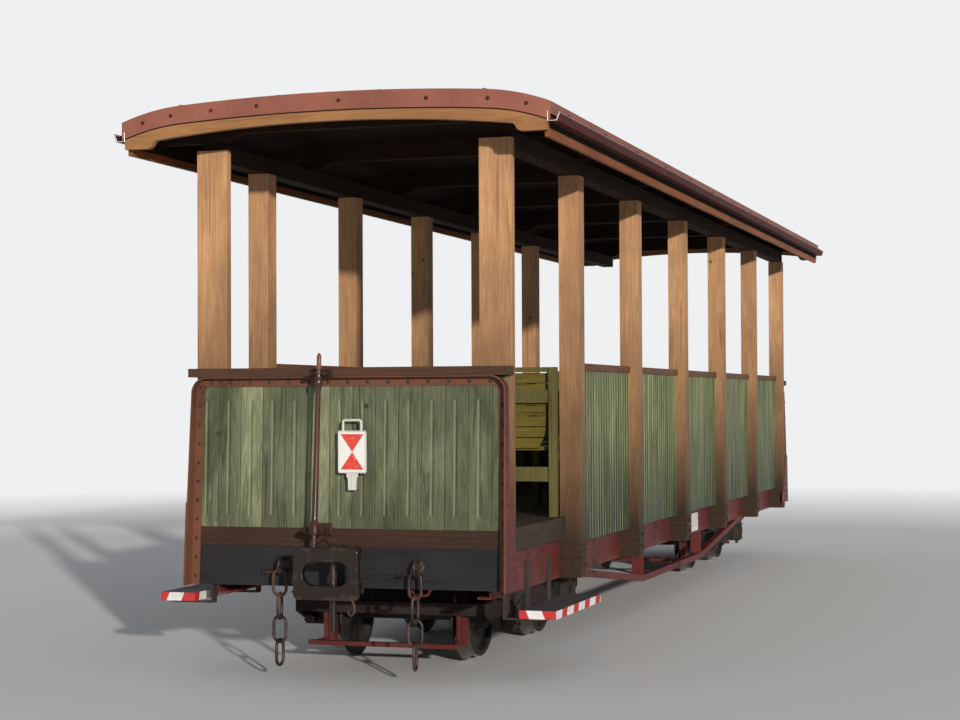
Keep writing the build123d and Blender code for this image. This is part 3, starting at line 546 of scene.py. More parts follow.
def rounded(wide, high, corner, steps=7):
    """A rectangle with round corners about the origin, clockwise from its upper right corner."""
    a, b = wide / 2 - corner, high / 2 - corner
    return (
        arc(a, b, corner, 90, 0, steps) + arc(a, -b, corner, 0, -90, steps)
        + arc(-a, -b, corner, -90, -180, steps) + arc(-a, b, corner, 180, 90, steps)
    )


def skin(bm, rings):
    """Faces between each ring of points and the next one."""
    for low, high in zip(rings, rings[1:]):
        for k in range(len(low)):
            j = (k + 1) % len(low)
            bm.faces.new((low[k], low[j], high[j], high[k]))


def add_box(bm, low, high):
    """A squared block between two corners."""
    size = [abs(b - a) for a, b in zip(low, high)]
    middle = [(a + b) / 2 for a, b in zip(low, high)]
    bmesh.ops.create_cube(bm, size=1.0, matrix=Matrix.Translation(middle) @ Matrix.Diagonal((*size, 1)))


def add_prism(bm, outline, depth):
    """A plate: outline points, then the same points moved by depth."""
    near = [bm.verts.new(Vector(point)) for point in outline]
    far = [bm.verts.new(Vector(point) + Vector(depth)) for point in outline]
    bm.faces.new(near)
    bm.faces.new(list(reversed(far)))
    for k in range(len(near)):
        j = (k + 1) % len(near)
        bm.faces.new((near[k], far[k], far[j], near[j]))


def add_tube(bm, path, radius, closed=False, sides=10):
    """A round bar along a path, its radius one number or one for each point."""
    path = [Vector(point) for point in path]
    count = len(path)
    radii = [radius] * count if isinstance(radius, (int, float)) else radius
    rings = []
    side = None
    for k, point in enumerate(path):
        back = path[k - 1] if closed or k else point
        ahead = path[(k + 1) % count] if closed or k < count - 1 else point
        along = (ahead - back).normalized()
        if side is None:
            side = along.orthogonal().normalized()
        side = (side - along * side.dot(along)).normalized()
        up = along.cross(side)
        rings.append([
            bm.verts.new(point + (side * math.cos(a) + up * math.sin(a)) * radii[k]) for a in turns(sides)
        ])
    if closed:
        rings.append(rings[0])
    else:
        bm.faces.new(rings[0])
        bm.faces.new(rings[-1])
    skin(bm, rings)


def add_lathe(bm, section, y, z, segments=72):
    """A body turned about an axis along X, from a section of (place on the axis, radius)."""
    rings = [
        [bm.verts.new((x, y + radius * math.cos(a), z + radius * math.sin(a))) for a in turns(segments)]
        for x, radius in section
    ]
    bm.faces.new(rings[0])
    bm.faces.new(rings[-1])
    skin(bm, rings)


def add_ring_plate(bm, outer, inner, near, far, place):
    """A plate with one hole. place turns (across, up, depth) into a point."""
    rings = [
        [bm.verts.new(place(a, b, depth)) for a, b in line]
        for line, depth in ((outer, near), (inner, near), (inner, far), (outer, far))
    ]
    skin(bm, rings + rings[:1])


def add_dome(bm, place, normal, radius, squash=0.62, sides=10):
    """A rivet's or bolt's round head."""
    matrix = Matrix.Translation(place) @ turned(normal) @ Matrix.Diagonal((1, 1, squash, 1))
    rings = []
    for rise in (0, math.pi / 6, math.pi / 3):
        reach, up = radius * math.cos(rise), radius * math.sin(rise)
        ring = [Vector((reach * math.cos(a), reach * math.sin(a), up)) for a in turns(sides)]
        rings.append([bm.verts.new(matrix @ point) for point in ring])
    tip = bm.verts.new(matrix @ Vector((0, 0, radius)))
    skin(bm, rings)
    for k in range(sides):
        bm.faces.new((rings[-1][k], rings[-1][(k + 1) % sides], tip))


def add_nut(bm, place, normal, radius, height):
    """A hexagon nut or bolt head with a chamfered top."""
    matrix = Matrix.Translation(place) @ turned(normal)
    rings = [
        [bm.verts.new(matrix @ Vector((reach * math.cos(a), reach * math.sin(a), up))) for a in turns(6)]
        for reach, up in ((radius, 0), (radius, height * 0.75), (radius * 0.8, height))
    ]
    skin(bm, rings)
    bm.faces.new(rings[-1])


# Ways to make pieces

def piece(name, bm, material, body="coach", smooth=True, bevel=0.0, stands_for=()):
    """Makes a mesh an object that rides on a body, and hides the CAD nodes it stands for."""
    bmesh.ops.recalc_face_normals(bm, faces=bm.faces)
    mesh = bpy.data.meshes.new(name)
    bm.to_mesh(mesh)
    bm.free()
    obj = bpy.data.objects.new(name, mesh)
    bpy.context.scene.collection.objects.link(obj)
    mesh.materials.append(mats[material])
    for face in mesh.polygons:
        face.use_smooth = smooth
    if smooth:
        mesh.set_sharp_from_angle(angle=math.radians(38))
    if bevel:
        modifier = obj.modifiers.new("edge", "BEVEL")
        modifier.width = bevel
        modifier.segments = 2
        modifier.limit_method = "ANGLE"
        modifier.harden_normals = True
    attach(obj, body)
    if stands_for:
        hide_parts(*stands_for)
    return obj


def bar(name, path, radius, sides, material, stands_for=()):
    """One round bar, its radius one number or one for each point."""
    bm = bmesh.new()
    add_tube(bm, path, radius, sides=sides)
    piece(name, bm, material, stands_for=stands_for)


def turned_bar(name, section, place, sides, material, stands_for=()):
    """An upright bar turned to a section of (height, radius). place gives its middle at a height."""
    path = [place(z) for z, radius in section]
    bar(name, path, [radius for z, radius in section], sides, material, stands_for)


def heads(name, places, radius, material):
    """One mesh of round heads. places holds (x, y, z, normal)."""
    bm = bmesh.new()
    for x, y, z, normal in places:
        add_dome(bm, (x, y, z), normal, radius)
    piece(name, bm, material)


def nuts(name, places, radius, height, material, body="coach"):
    """One mesh of hexagon nuts. places holds (x, y, z, normal)."""
    bm = bmesh.new()
    for x, y, z, normal in places:
        add_nut(bm, (x, y, z), normal, radius, height)
    piece(name, bm, material, body, smooth=False)


# End walls: rivets and bolts
BAND_INSET = 0.034
BAND_ROWS = [END_LOW + 0.05 + 0.108 * k for k in range(11)]
TOP_ROW = [-0.84 + 0.12 * k for k in range(15)]
WEB_OUT, WEB_RIVETS = 0.094, (0.633, 0.748, 0.867, 0.983, 1.110, 1.256, 1.40, 1.54)
FOOT_FACE, FOOT_BOLTS = 0.9603, (0.581, 0.649, 0.707)
HEADSTOCK_OUT, HEADSTOCK_BOLT_HALF, HEADSTOCK_BOLTS = 0.073, 0.885, (0.575, 0.71)

for end_name, end in ENDS:
    band = [(side * (rim_half(z) - BAND_INSET), z) for z in BAND_ROWS for side in (-1, 1)]
    band += [(x, END_HIGH - BAND_INSET) for x in TOP_ROW]
    on_band = [(x, end * (HALF + band_face(z)), z, (0, end, 0)) for x, z in band]
    heads(f"end_rivets_{end_name}", on_band, 0.0105, "strap")
    on_web = [
        (side * rim_half(z), end * (HALF + WEB_OUT), z, (side, 0, 0))
        for z in WEB_RIVETS for side in (-1, 1)
    ]
    heads(f"web_rivets_{end_name}", on_web, 0.011, "bolt")
    on_foot = [(side * FOOT_FACE, end * HALF, z, (side, 0, 0)) for z in FOOT_BOLTS for side in (-1, 1)]
    heads(f"foot_bolts_{end_name}", on_foot, 0.013, "bolt")
    on_beam = [
        (side * HEADSTOCK_BOLT_HALF, end * (HALF + HEADSTOCK_OUT), z, (0, end, 0))
        for z in HEADSTOCK_BOLTS for side in (-1, 1)
    ]
    heads(f"headstock_bolts_{end_name}", on_beam, 0.011, "dark")


# Sides: sill rivets, post bolts and blank plates
SILL_RIVETS = (
    # place along the car, height
    (-4.16, 0.564), (-4.089, 0.664), (-3.82, 0.673), (-3.82, 0.601), (-3.81, 0.534), (-1.85, 0.59),
    (-1.85, 0.52), (-0.68, 0.62), (-0.68, 0.538), (-0.25, 0.66), (-0.25, 0.533), (1.85, 0.59), (1.85, 0.52),
    (0.68, 0.62), (0.68, 0.538), (3.82, 0.673), (3.82, 0.601), (3.82, 0.534), (4.16, 0.564), (4.16, 0.664),
)
POCKET_RIVET_OFF = 0.034
POCKET_RIVETS_BEFORE, POCKET_RIVETS_PAST = (0.655, 0.607, 0.515), (0.640, 0.515)
STRAP_FACE, STRAP_BOLTS = 0.962, (0.552, 0.633)
BLANK_PLATES = (
    # start and end along the car, low, high, thickness
    (0.70, 0.955, 0.488, 0.636, 0.004),
    (0.48, 0.635, 0.545, 0.618, 0.003),
)

# The last post on the right stands without a pocket.
for side_name, side, posts in (("right", 1, RIGHT_POSTS[:-1]), ("left", -1, LEFT_POSTS)):
    places = list(SILL_RIVETS)
    for y in posts:
        places += [(y - POCKET_RIVET_OFF, z) for z in POCKET_RIVETS_BEFORE]
        places += [(y + POST_SIDE + POCKET_RIVET_OFF, z) for z in POCKET_RIVETS_PAST]
    on_sill = [(side * SILL_FACE, y, z, (side, 0, 0)) for y, z in places]
    heads(f"sill_rivets_{side_name}", on_sill, 0.011, "bolt")
    on_straps = [
        (side * STRAP_FACE, y + POST_SIDE / 2, z, (side, 0, 0)) for y in posts for z in STRAP_BOLTS
    ]
    nuts(f"post_bolts_{side_name}", on_straps, 0.013, 0.009, "posts")

bm = bmesh.new()
for start, stop, low, high, thick in BLANK_PLATES:
    add_box(bm, (SILL_FACE, start, low), (SILL_FACE + thick, stop, high))
piece("blank_plates", bm, "white", bevel=0.0015)


# Roof ends: screws, hems and a near-black strip under each flashing as its painted shadow
FLASHING_SCREWS = (-1.135, -0.96, -0.71, -0.43, 0.06, 0.57, 0.92, 1.135)
SCREW_DROP, SCREW_OUT = 0.050, 0.005
HEM_OUT, SHADOW_STRIP_OUT = 0.0015, 0.0018
HEMS = (
    # distance below the roof's top, radius
    (0.0035, 0.0030),
    (FLASHING_DROP - 0.003, 0.0032),
)
SHADOW_STRIP_TOP, SHADOW_STRIP_BOTTOM = FLASHING_DROP - 0.002, FLASHING_DROP + 0.007
ROOF_STEPS = [ROOF_EDGE * (k / 32 - 1) for k in range(65)]
SEAMS = (
    # distance from the middle, rise
    (0.3, 0.003),
    (0.9, 0.006),
)

for end_name, end in ENDS:
    face = end * (ROOF_END + SCREW_OUT)
    screws = [(x, face, roof_high(x) - SCREW_DROP, (0, end, 0)) for x in FLASHING_SCREWS]
    heads(f"flashing_screws_{end_name}", screws, 0.012, "gutter")

bm = bmesh.new()
for side in (-1, 1):
    for x, rise in SEAMS:
        foot = roof_high(x) - 0.001
        section = ((-0.018, 0), (-0.006, rise), (0.006, rise), (0.018, 0))
        add_prism(bm, [(side * x + off, -ROOF_END, foot + up) for off, up in section], (0, 2 * ROOF_END, 0))
piece("roof_seams", bm, "roof", smooth=False)

for end_name, end in ENDS:
    bm = bmesh.new()
    for below, radius in HEMS:
        path = [(x, end * (ROOF_END + HEM_OUT), roof_high(x) - below) for x in ROOF_STEPS]
        add_tube(bm, path, radius, sides=8)
    piece(f"flashing_hems_{end_name}", bm, "roof")

# A near-black strip just below each flashing's lower hem: the flashing's painted shadow.
for end_name, end in ENDS:
    bm = bmesh.new()
    upper, lower = [
        [bm.verts.new((x, end * (ROOF_END + SHADOW_STRIP_OUT), roof_high(x) - below)) for x in ROOF_STEPS]
        for below in (SHADOW_STRIP_TOP, SHADOW_STRIP_BOTTOM)
    ]
    for k in range(len(ROOF_STEPS) - 1):
        bm.faces.new((upper[k], upper[k + 1], lower[k + 1], lower[k]))
    piece(f"flashing_shadow_{end_name}", bm, "shade_under_eaves")


# Heads of the posts and the wall plates that they carry
POST_TOP, PLATE_LOW, PLATE_HIGH = 2.948, 2.974, 3.078
PLATE_INNER, PLATE_OUTER = 0.834, 0.944
CORNER_INNER, CORNER_TOP, CORNER_THICK = 0.764, 3.030, 0.050

for side_name, side, posts in (("right", 1, RIGHT_POSTS), ("left", -1, LEFT_POSTS)):
    bm = bmesh.new()
    for y in posts:
        add_box(bm, (side * SILL_FACE, y, POST_TOP), (side * POST_FACE, y + POST_SIDE, PLATE_LOW))
    corner_back = -HALF + CORNER_THICK
    add_box(bm, (side * CORNER_INNER, -HALF, POST_TOP), (side * POST_FACE, corner_back, CORNER_TOP))
    piece(f"post_heads_{side_name}", bm, "posts", smooth=False)
    bm = bmesh.new()
    add_box(bm, (side * PLATE_INNER, corner_back, PLATE_LOW), (side * PLATE_OUTER, HALF, PLATE_HIGH))
    piece(
        f"wall_plate_{side_name}", bm, "plates", smooth=False, bevel=0.004,
        stands_for=("wall_plates",),
    )


# Eaves: drip edges of the roof sheet, and the boards below them, their upper part near-black as the gutter's
# painted shadow
DRIP_INNER, DRIP_OUTER, DRIP_LOW, DRIP_OUT = 1.2655, 1.2675, 3.098, 0.001
EAVE_THICK, EAVE_STEP, EAVE_SHIFT, SHADED_PART_INSET = 0.025, 3.026, 0.006, 0.002

for side_name, side in SIDES:
    bm = bmesh.new()
    add_box(
        bm, (side * DRIP_INNER, -ROOF_END - DRIP_OUT, DRIP_LOW),
        (side * DRIP_OUTER, ROOF_END + DRIP_OUT, roof_high(1.268) - 0.001),
    )
    piece(f"roof_drip_{side_name}", bm, "roof", smooth=False)

low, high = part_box("eave_boards")
for side_name, side in SIDES:
    inner, outer = side * (high[0] - EAVE_THICK), side * high[0]
    bm = bmesh.new()
    add_box(bm, (inner, low[1], low[2]), (outer, high[1], EAVE_STEP))
    piece(
        f"eave_strip_{side_name}", bm, "eaves", smooth=False, bevel=0.002,
        stands_for=("eave_boards",),
    )
    # The eave board's upper part, near-black as the gutter's painted shadow.
    bm = bmesh.new()
    add_box(
        bm, (inner, low[1] + SHADED_PART_INSET, EAVE_STEP),
        (outer - side * EAVE_SHIFT, high[1] - SHADED_PART_INSET, high[2]),
    )
    piece(f"eave_shaded_part_{side_name}", bm, "shade_under_eaves", smooth=False)


# Gutters: a bead on the lip, pale as a painted highlight, straps across the top and pale edges at the ends
LIP, LIP_HIGH, BEAD_RADIUS, EDGE_RADIUS = 1.3165, 3.1005, 0.0055, 0.0042
BEAD_PLACES = (-5.164, -2.6, 0, 2.6, 5.164)
STRAP_BACK, STRAP_TOP, STRAP_FOOT, STRAP_HALF, STRAP_THICK = 1.2505, 3.1155, 3.100, 0.012, 0.003
STRAP_PLACES = [-4.95 + 0.825 * k for k in range(13)]
GUTTER_SECTION = (
    # distance from the middle, height
    (1.2525, 3.112), (1.2525, 3.060), (1.3010, 3.060), (LIP, 3.098),
)

for side_name, side in SIDES:
    bead = [(side * LIP, y, LIP_HIGH) for y in BEAD_PLACES]
    bar(f"gutter_bead_{side_name}", bead, BEAD_RADIUS, 12, "lip")
    bm = bmesh.new()
    for y in STRAP_PLACES:
        corner = (side * LIP, y + STRAP_HALF, STRAP_TOP)
        add_box(bm, (side * STRAP_BACK, y - STRAP_HALF, STRAP_TOP - STRAP_THICK), corner)
        add_box(bm, (side * (LIP - STRAP_THICK), y - STRAP_HALF, STRAP_FOOT), corner)
    piece(f"gutter_straps_{side_name}", bm, "gutter", smooth=False, bevel=0.001)
    bm = bmesh.new()
    for end in (-1, 1):
        path = [(side * x, end * (ROOF_END + HEM_OUT), z) for x, z in GUTTER_SECTION]
        add_tube(bm, path, EDGE_RADIUS, sides=8)
    piece(f"gutter_ends_{side_name}", bm, "pale")


# Benches: slats with rounded lower ends on the backs, and slatted seats
BACK_MIDDLE, BACK_HALF, BACK_BEND, BACK_RADIUS = 0.545, 0.200, 1.488, 0.415
BACK_LOW, BACK_HIGH, BACK_SLATS, BACK_GAP, BACK_THICK = 1.272, 1.746, 7, 0.005, 0.019
FRAME_HALF, FIRST_BENCH_SHIFT = 0.0242, 0.024
SEAT_INNER, SEAT_OUTER, SEAT_LOW, SEAT_HIGH = 0.277, 0.813, 1.2595, 1.2825
SEAT_START, SEAT_SLATS, SEAT_PITCH, SEAT_SLAT_WIDE = 0.047, 5, 0.0772, 0.0702


def slat_half(z):
    """Half a back's width: straight above the bend, drawn in along an arc below it."""
    if z > BACK_BEND:
        return BACK_HALF
    return BACK_HALF - BACK_RADIUS + math.sqrt(BACK_RADIUS**2 - (BACK_BEND - z) ** 2)


def add_back(bm, side, middle, way):
    """The slats on one face of a bench's back."""
    near = middle + way * FRAME_HALF
    pitch = (BACK_HIGH - BACK_LOW) / BACK_SLATS
    for k in range(BACK_SLATS):
        low = BACK_LOW + k * pitch + BACK_GAP / 2
        high = low + pitch - BACK_GAP
        heights = [low + (high - low) * step / 3 for step in range(4)]
        outline = [(side * BACK_MIDDLE + slat_half(z), near, z) for z in heights]
        outline += [(side * BACK_MIDDLE - slat_half(z), near, z) for z in reversed(heights)]
        add_prism(bm, outline, (0, way * BACK_THICK, 0))


def add_seat(bm, side, middle, way):
    """The slats of the seat on one side of a back."""
    for k in range(SEAT_SLATS):
        start = middle + way * (SEAT_START + k * SEAT_PITCH)
        stop = start + way * SEAT_SLAT_WIDE
        add_box(bm, (side * SEAT_INNER, start, SEAT_LOW), (side * SEAT_OUTER, stop, SEAT_HIGH))


backs = [RIGHT_POSTS[0] - FIRST_BENCH_SHIFT] + [y + POST_SIDE / 2 for y in RIGHT_POSTS[1:]]
seat_ways = [(1,)] + [(-1, 1)] * (len(backs) - 2) + [(-1,)]
for side_name, side in SIDES:
    bm = bmesh.new()
    for middle, ways in zip(backs, seat_ways):
        for way in ways:
            add_back(bm, side, middle, way)
            add_seat(bm, side, middle, way)
    piece(
        f"bench_slats_{side_name}", bm, "slats", smooth=False, bevel=0.003,
        stands_for=("bench_panels",),
    )


# Wheels: tyre, dished web and hub turned as one section
WHEEL_SECTION = (
    # distance from the car's middle, radius
    (0.335, 0.050), (0.335, 0.078), (0.352, 0.090), (0.376, 0.104), (0.381, 0.214), (0.350, 0.230),
    (0.344, 0.240), (0.344, 0.276), (0.348, 0.285), (0.354, 0.288), (0.362, 0.285), (0.369, 0.272),
    (0.380, 0.2605), (0.450, 0.2585), (0.456, 0.252), (0.456, 0.228), (0.450, 0.222), (0.424, 0.213),
    (0.416, 0.110), (0.436, 0.093), (0.482, 0.088), (0.486, 0.083), (0.486, 0.044), (0.500, 0.038),
    (0.652, 0.038), (0.656, 0.034),
)
TREAD_INNER, TREAD_OUTER, TREAD_REACH = 0.365, 0.452, 0.24

wheelset_section = [(-x, radius) for x, radius in reversed(WHEEL_SECTION)] + list(WHEEL_SECTION)
for number, y in enumerate(AXLES["front"] + AXLES["rear"], 1):
    bm = bmesh.new()
    add_lathe(bm, wheelset_section, y, AXLE_HIGH)
    body = f"wheelset_{number}"
    wheels = piece(f"wheels_{number}", bm, "wheel", body, stands_for=(body,))
    wheels.data.materials.append(mats["tread"])
    for face in wheels.data.polygons:
        middle = face.center
        reach = math.hypot(middle.y - y, middle.z - AXLE_HIGH)
        if TREAD_INNER < abs(middle.x) < TREAD_OUTER and reach > TREAD_REACH:
            face.material_index = 1


# Axle boxes: round lids with raised middles, and their bolts
LID_RADIUS, LID_THICK, BOSS_SHARE, BOSS_THICK = 0.062, 0.012, 0.6, 0.006
LID_BOLT_OFF, LID_BOLT_OUT = 0.066, 0.002

for end_name, places in AXLES.items():
    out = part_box(f"axle_boxes_{end_name}")[1][0]
    bm = bmesh.new()
    bolts = []
    for side in (-1, 1):
        for y in places:
            for start, share, thick in ((out, 1, LID_THICK), (out + LID_THICK, BOSS_SHARE, BOSS_THICK)):
                ring = arc(y, AXLE_HIGH, share * LID_RADIUS, 0, 345, 24)
                add_prism(bm, [(side * start, a, b) for a, b in ring], (side * thick, 0, 0))
            bolts += [
                (side * (out + LID_BOLT_OUT), y + a, AXLE_HIGH + b, (side, 0, 0))
                for a in (-LID_BOLT_OFF, LID_BOLT_OFF) for b in (-LID_BOLT_OFF, LID_BOLT_OFF)
            ]
    body = f"bogie_{end_name}"
    piece(f"axle_box_lids_{end_name}", bm, "grease", body, bevel=0.002)
    nuts(f"axle_box_bolts_{end_name}", bolts, 0.011, 0.009, "bolt", body)


# Couplers: rounded buffing plates, shanks, the long coupling pin and its hook
PLATE_CORNER, PLATE_BACK, PLATE_FRONT = 0.030, 5.194, 5.240
SLOT_WIDE, SLOT_HIGH = 0.272, 0.128
SHANK_START, SHANK_OFF, SHANK_HALF_WIDE, SHANK_HALF_HIGH = 4.913, 0.1035, 0.075, 0.0197
FOOT_HALF_WIDE, FOOT_HALF_HIGH, FOOT_THICK = 0.105, 0.030, 0.016
PIN_PLACE = 5.119
PIN = (
    # height, radius
    (0.300, 0.012), (0.306, 0.018), (0.487, 0.018), (0.489, 0.0218), (0.756, 0.0218), (0.758, 0.033),
    (0.772, 0.033), (0.776, 0.028),
)
PIN_HOOK_PLACE = 4.955
PIN_HOOK = (
    # place across the car, height, radius
    (0.055, 0.487, 0.008), (0.050, 0.455, 0.008), (0.062, 0.425, 0.010), (0.058, 0.395, 0.010),
    (0.042, 0.375, 0.009), (0.026, 0.385, 0.008), (0.024, 0.405, 0.005),
)

half_round = SLOT_HIGH / 2
slot_reach = SLOT_WIDE / 2 - half_round
slot_line = arc(slot_reach, 0, half_round, 90, -90, 14) + arc(-slot_reach, 0, half_round, -90, -270, 14)
plate_line = rounded(COUPLER_WIDE, COUPLER_HIGH, PLATE_CORNER)
for end_name, end in ENDS:
    bm = bmesh.new()
    add_ring_plate(
        bm, plate_line, slot_line, PLATE_BACK, PLATE_FRONT,
        lambda a, b, depth: Vector((a, end * depth, COUPLER_MIDDLE + b)),
    )
    for way in (-1, 1):
        middle = COUPLER_MIDDLE + way * SHANK_OFF
        add_box(
            bm, (-SHANK_HALF_WIDE, end * SHANK_START, middle - SHANK_HALF_HIGH),
            (SHANK_HALF_WIDE, end * PLATE_BACK, middle + SHANK_HALF_HIGH),
        )
        add_box(
            bm, (-FOOT_HALF_WIDE, end * SHANK_START, middle - FOOT_HALF_HIGH),
            (FOOT_HALF_WIDE, end * (SHANK_START + FOOT_THICK), middle + FOOT_HALF_HIGH),
        )
    piece(f"coupler_{end_name}", bm, "gear", bevel=0.006, stands_for=("couplers",))
    turned_bar(
        f"coupling_pin_{end_name}", PIN, lambda z: (0, end * PIN_PLACE, z), 20, "gear",
        ("coupler_pins",),
    )
    hook = [(x, end * PIN_HOOK_PLACE, z) for x, z, radius in PIN_HOOK]
    bar(f"pin_hook_{end_name}", hook, [radius for x, z, radius in PIN_HOOK], 10, "chain")


# Safety chains: round-ended links, eye bolts with their cross rods, and the hose hook
LINK_LENGTH, LINK_WIDTH, LINK_WIRE, LINK_PLACE = 0.162, 0.094, 0.0088, 4.983
LINK_HEIGHTS = (0.553, 0.4233, 0.2936, 0.1639)
CHAINS = (
    # place across the car, turn of each link in degrees
    (-0.378, (6, 97, -5, 84)),
    (0.430, (-9, 84, 14, 98)),
)
EYE_PLACE, EYE_HIGH, EYE_RADIUS, EYE_WIRE = 4.957, 0.650, 0.045, 0.0085
CROSS_ROD_WIRE = 0.0075
CROSS_ROD = (
    # place across from the eye, place along the car, height
    (-0.118, 4.934, 0.604), (-0.02, 4.94, 0.612), (0.024, 4.944, 0.620),
)
CROSS_ROD_NUTS = (
    # place across from the eye, place along the car, height, radius, thickness
    (-0.112, 4.934, 0.604, 0.015, 0.012),
    (-0.090, 4.935, 0.606, 0.017, 0.011),
)
CROSS_ROD_WAY = (-1, 0, 0.08)
HOSE_HOOK_PLACE, HOSE_HOOK_WIRE = 4.90, 0.0085
HOSE_HOOK = (
    # place across the car, height
    (0.380, 0.516), (0.405, 0.497), (0.459, 0.492), (0.478, 0.500), (0.488, 0.524), (0.505, 0.533),
    (0.552, 0.536),
)


def link_points(x, y, z, turn):
    """The middle line of a link with round ends, upright and turned about its long axis."""
    radius = LINK_WIDTH / 2 - LINK_WIRE
    straight = LINK_LENGTH / 2 - LINK_WIDTH / 2
    line = arc(0, straight, radius, 0, 180, 9) + arc(0, -straight, radius, 180, 360, 9)
    turn = math.radians(turn)
    return [(x + a * math.cos(turn), y + a * math.sin(turn), z + b) for a, b in line]


for end_name, end in ENDS:
    links = bmesh.new()
    eyes = bmesh.new()
    for x, link_turns in CHAINS:
        for z, turn in zip(LINK_HEIGHTS, link_turns):
            line = link_points(x, end * LINK_PLACE, z, turn * end * -1)
            add_tube(links, line, LINK_WIRE, closed=True, sides=12)
        ring = [(x, end * (EYE_PLACE + a), EYE_HIGH + b) for a, b in arc(0, 0, EYE_RADIUS, 0, 345, 24)]
        add_tube(eyes, ring, EYE_WIRE, closed=True)
        add_nut(eyes, (x, end * SHANK_START, EYE_HIGH), (0, end, 0), 0.036, 0.010)
        add_tube(eyes, [(x + across, end * y, z) for across, y, z in CROSS_ROD], CROSS_ROD_WIRE)
        for across, y, z, radius, thick in CROSS_ROD_NUTS:
            add_nut(eyes, (x + across, end * y, z), CROSS_ROD_WAY, radius, thick)
    piece(f"chain_links_{end_name}", links, "chain", stands_for=("safety_chains",))
    piece(f"chain_eyes_{end_name}", eyes, "chain")
    hook = [(x, end * HOSE_HOOK_PLACE, z) for x, z in HOSE_HOOK]
    bar(f"hose_hook_{end_name}", hook, HOSE_HOOK_WIRE, 12, "brake_red")


# Hand brake: a spindle that leans with the end wall, its brackets and pull wire
SPINDLE_LOW, SPINDLE_HIGH = 0.668, 1.843
SPINDLE_X, SPINDLE_Y, SPINDLE_LEAN_X, SPINDLE_LEAN_Y = -0.113, -5.036, 0.022, 0.040
SPINDLE = (
    # height, radius
    (SPINDLE_LOW, 0.014), (0.830, 0.014), (0.832, 0.030), (0.842, 0.034), (0.882, 0.034), (0.893, 0.026),
    (0.905, 0.019), (0.93, 0.0165), (1.640, 0.0155), (1.656, 0.019), (1.668, 0.024), (1.692, 0.024),
    (1.700, 0.018), (1.720, 0.018),
)
HEAD = (
    # height, radius
    (1.716, 0.0125), (1.752, 0.0125), (1.753, 0.024), (1.772, 0.024), (1.773, 0.0125), (1.828, 0.0125),
    (1.834, 0.009), (1.8425, 0.004),
)
BRACKETS = (
    # height, thickness, back edge, reach past the spindle, half width of the wings
    (1.722, 0.014, -4.948, 0.027, 0.052),
    (0.838, 0.036, -4.922, 0.038, 0.060),
)
WING_FRONT, WING_BACK, ARM_START, ARM_HALF = 0.010, 0.020, 0.030, 0.034
BACK_PLATE_HALF, BACK_PLATE_THICK, BACK_PLATE_PAST = 0.05, 0.012, 0.016
PULL_WIRE_PLACE, PULL_WIRE_RADIUS = -5.045, 0.0034
PULL_WIRE = (
    # place across the car, height
    (-0.102, 0.762), (-0.092, 0.796), (-0.070, 0.818), (-0.045, 0.824), (-0.022, 0.810), (-0.008, 0.786),
    (-0.004, 0.760),
)


def spindle_point(z):
    """The spindle's middle at a height."""
    share = (SPINDLE_HIGH - z) / (SPINDLE_HIGH - SPINDLE_LOW)
    return (SPINDLE_X - SPINDLE_LEAN_X * share, SPINDLE_Y - SPINDLE_LEAN_Y * share, z)


turned_bar("brake_spindle", SPINDLE, spindle_point, 20, "brake", ("hand_brake",))
turned_bar("brake_head", HEAD, spindle_point, 18, "rod")

bm = bmesh.new()
bracket_bolts = []
for height, thick, back, past, wing in BRACKETS:
    x, y, z = spindle_point(height)
    outline = [(x - wing, y + WING_BACK), (x - wing, y - WING_FRONT)]
    outline += arc(x, y, past, 200, 340, 11)
    outline += [(x + wing, y - WING_FRONT), (x + wing, y + WING_BACK)]
    outline += [(x + ARM_HALF, y + ARM_START), (x + ARM_HALF, back)]
    outline += [(x - ARM_HALF, back), (x - ARM_HALF, y + ARM_START)]
    add_prism(bm, [(a, b, height) for a, b in outline], (0, 0, thick))
    add_box(
        bm, (x - BACK_PLATE_HALF, back, height - BACK_PLATE_PAST),
        (x + BACK_PLATE_HALF, back - BACK_PLATE_THICK, height + thick + BACK_PLATE_PAST),
    )
    bracket_bolts += [
        (x + side * wing * 0.82, y - WING_FRONT, height + thick / 2, (0, -1, 0)) for side in (-1, 1)
    ]
piece("brake_brackets", bm, "casting", bevel=0.003)
nuts("brake_bracket_nuts", bracket_bolts, 0.014, 0.016, "casting")
wire = [(x, PULL_WIRE_PLACE, z) for x, z in PULL_WIRE]
bar("brake_wire", wire, PULL_WIRE_RADIUS, 8, "chain")


# Tail marker: a plate with a beaded edge, a bail to lift it by, and a tongue in its socket
MARKER_THICK, MARKER_CORNER = 0.006, 0.010
FACE_IN, BEAD_IN, BAIL_IN, TONGUE_IN, RIB_IN, SOCKET_IN = 0.004, 0.0055, 0.0075, 0.003, 0.001, 0.0105
EDGE_BEAD, BAIL_WIRE, TONGUE_THICK = 0.0045, 0.0072, 0.008
BAIL_HALF = (
    # distance from the plate's middle line, height
    (0.0545, 1.405), (0.0545, 1.455), (0.052, 1.463), (0.045, 1.467),
)
TONGUE_HALF = (
    # distance from the plate's middle line, height
    (0.034, 1.172), (0.034, 1.152), (0.026, 1.140), (0.024, 1.076),
)
RIB_HALF, RIB_LOW, RIB_HIGH = 0.003, 1.078, 1.166
SOCKET_HALF, SOCKET_LOW, SOCKET_HIGH, SOCKET_BACK = 0.030, 1.080, 1.150, -4.905


def marker_line(half, depth):
    """Points of one half's outline, then of its mirror image, at a depth behind the marker's front."""
    both = [(-a, z) for a, z in half] + [(a, z) for a, z in reversed(half)]
    return [(MARKER_X + a, MARKER_FRONT + depth, z) for a, z in both]


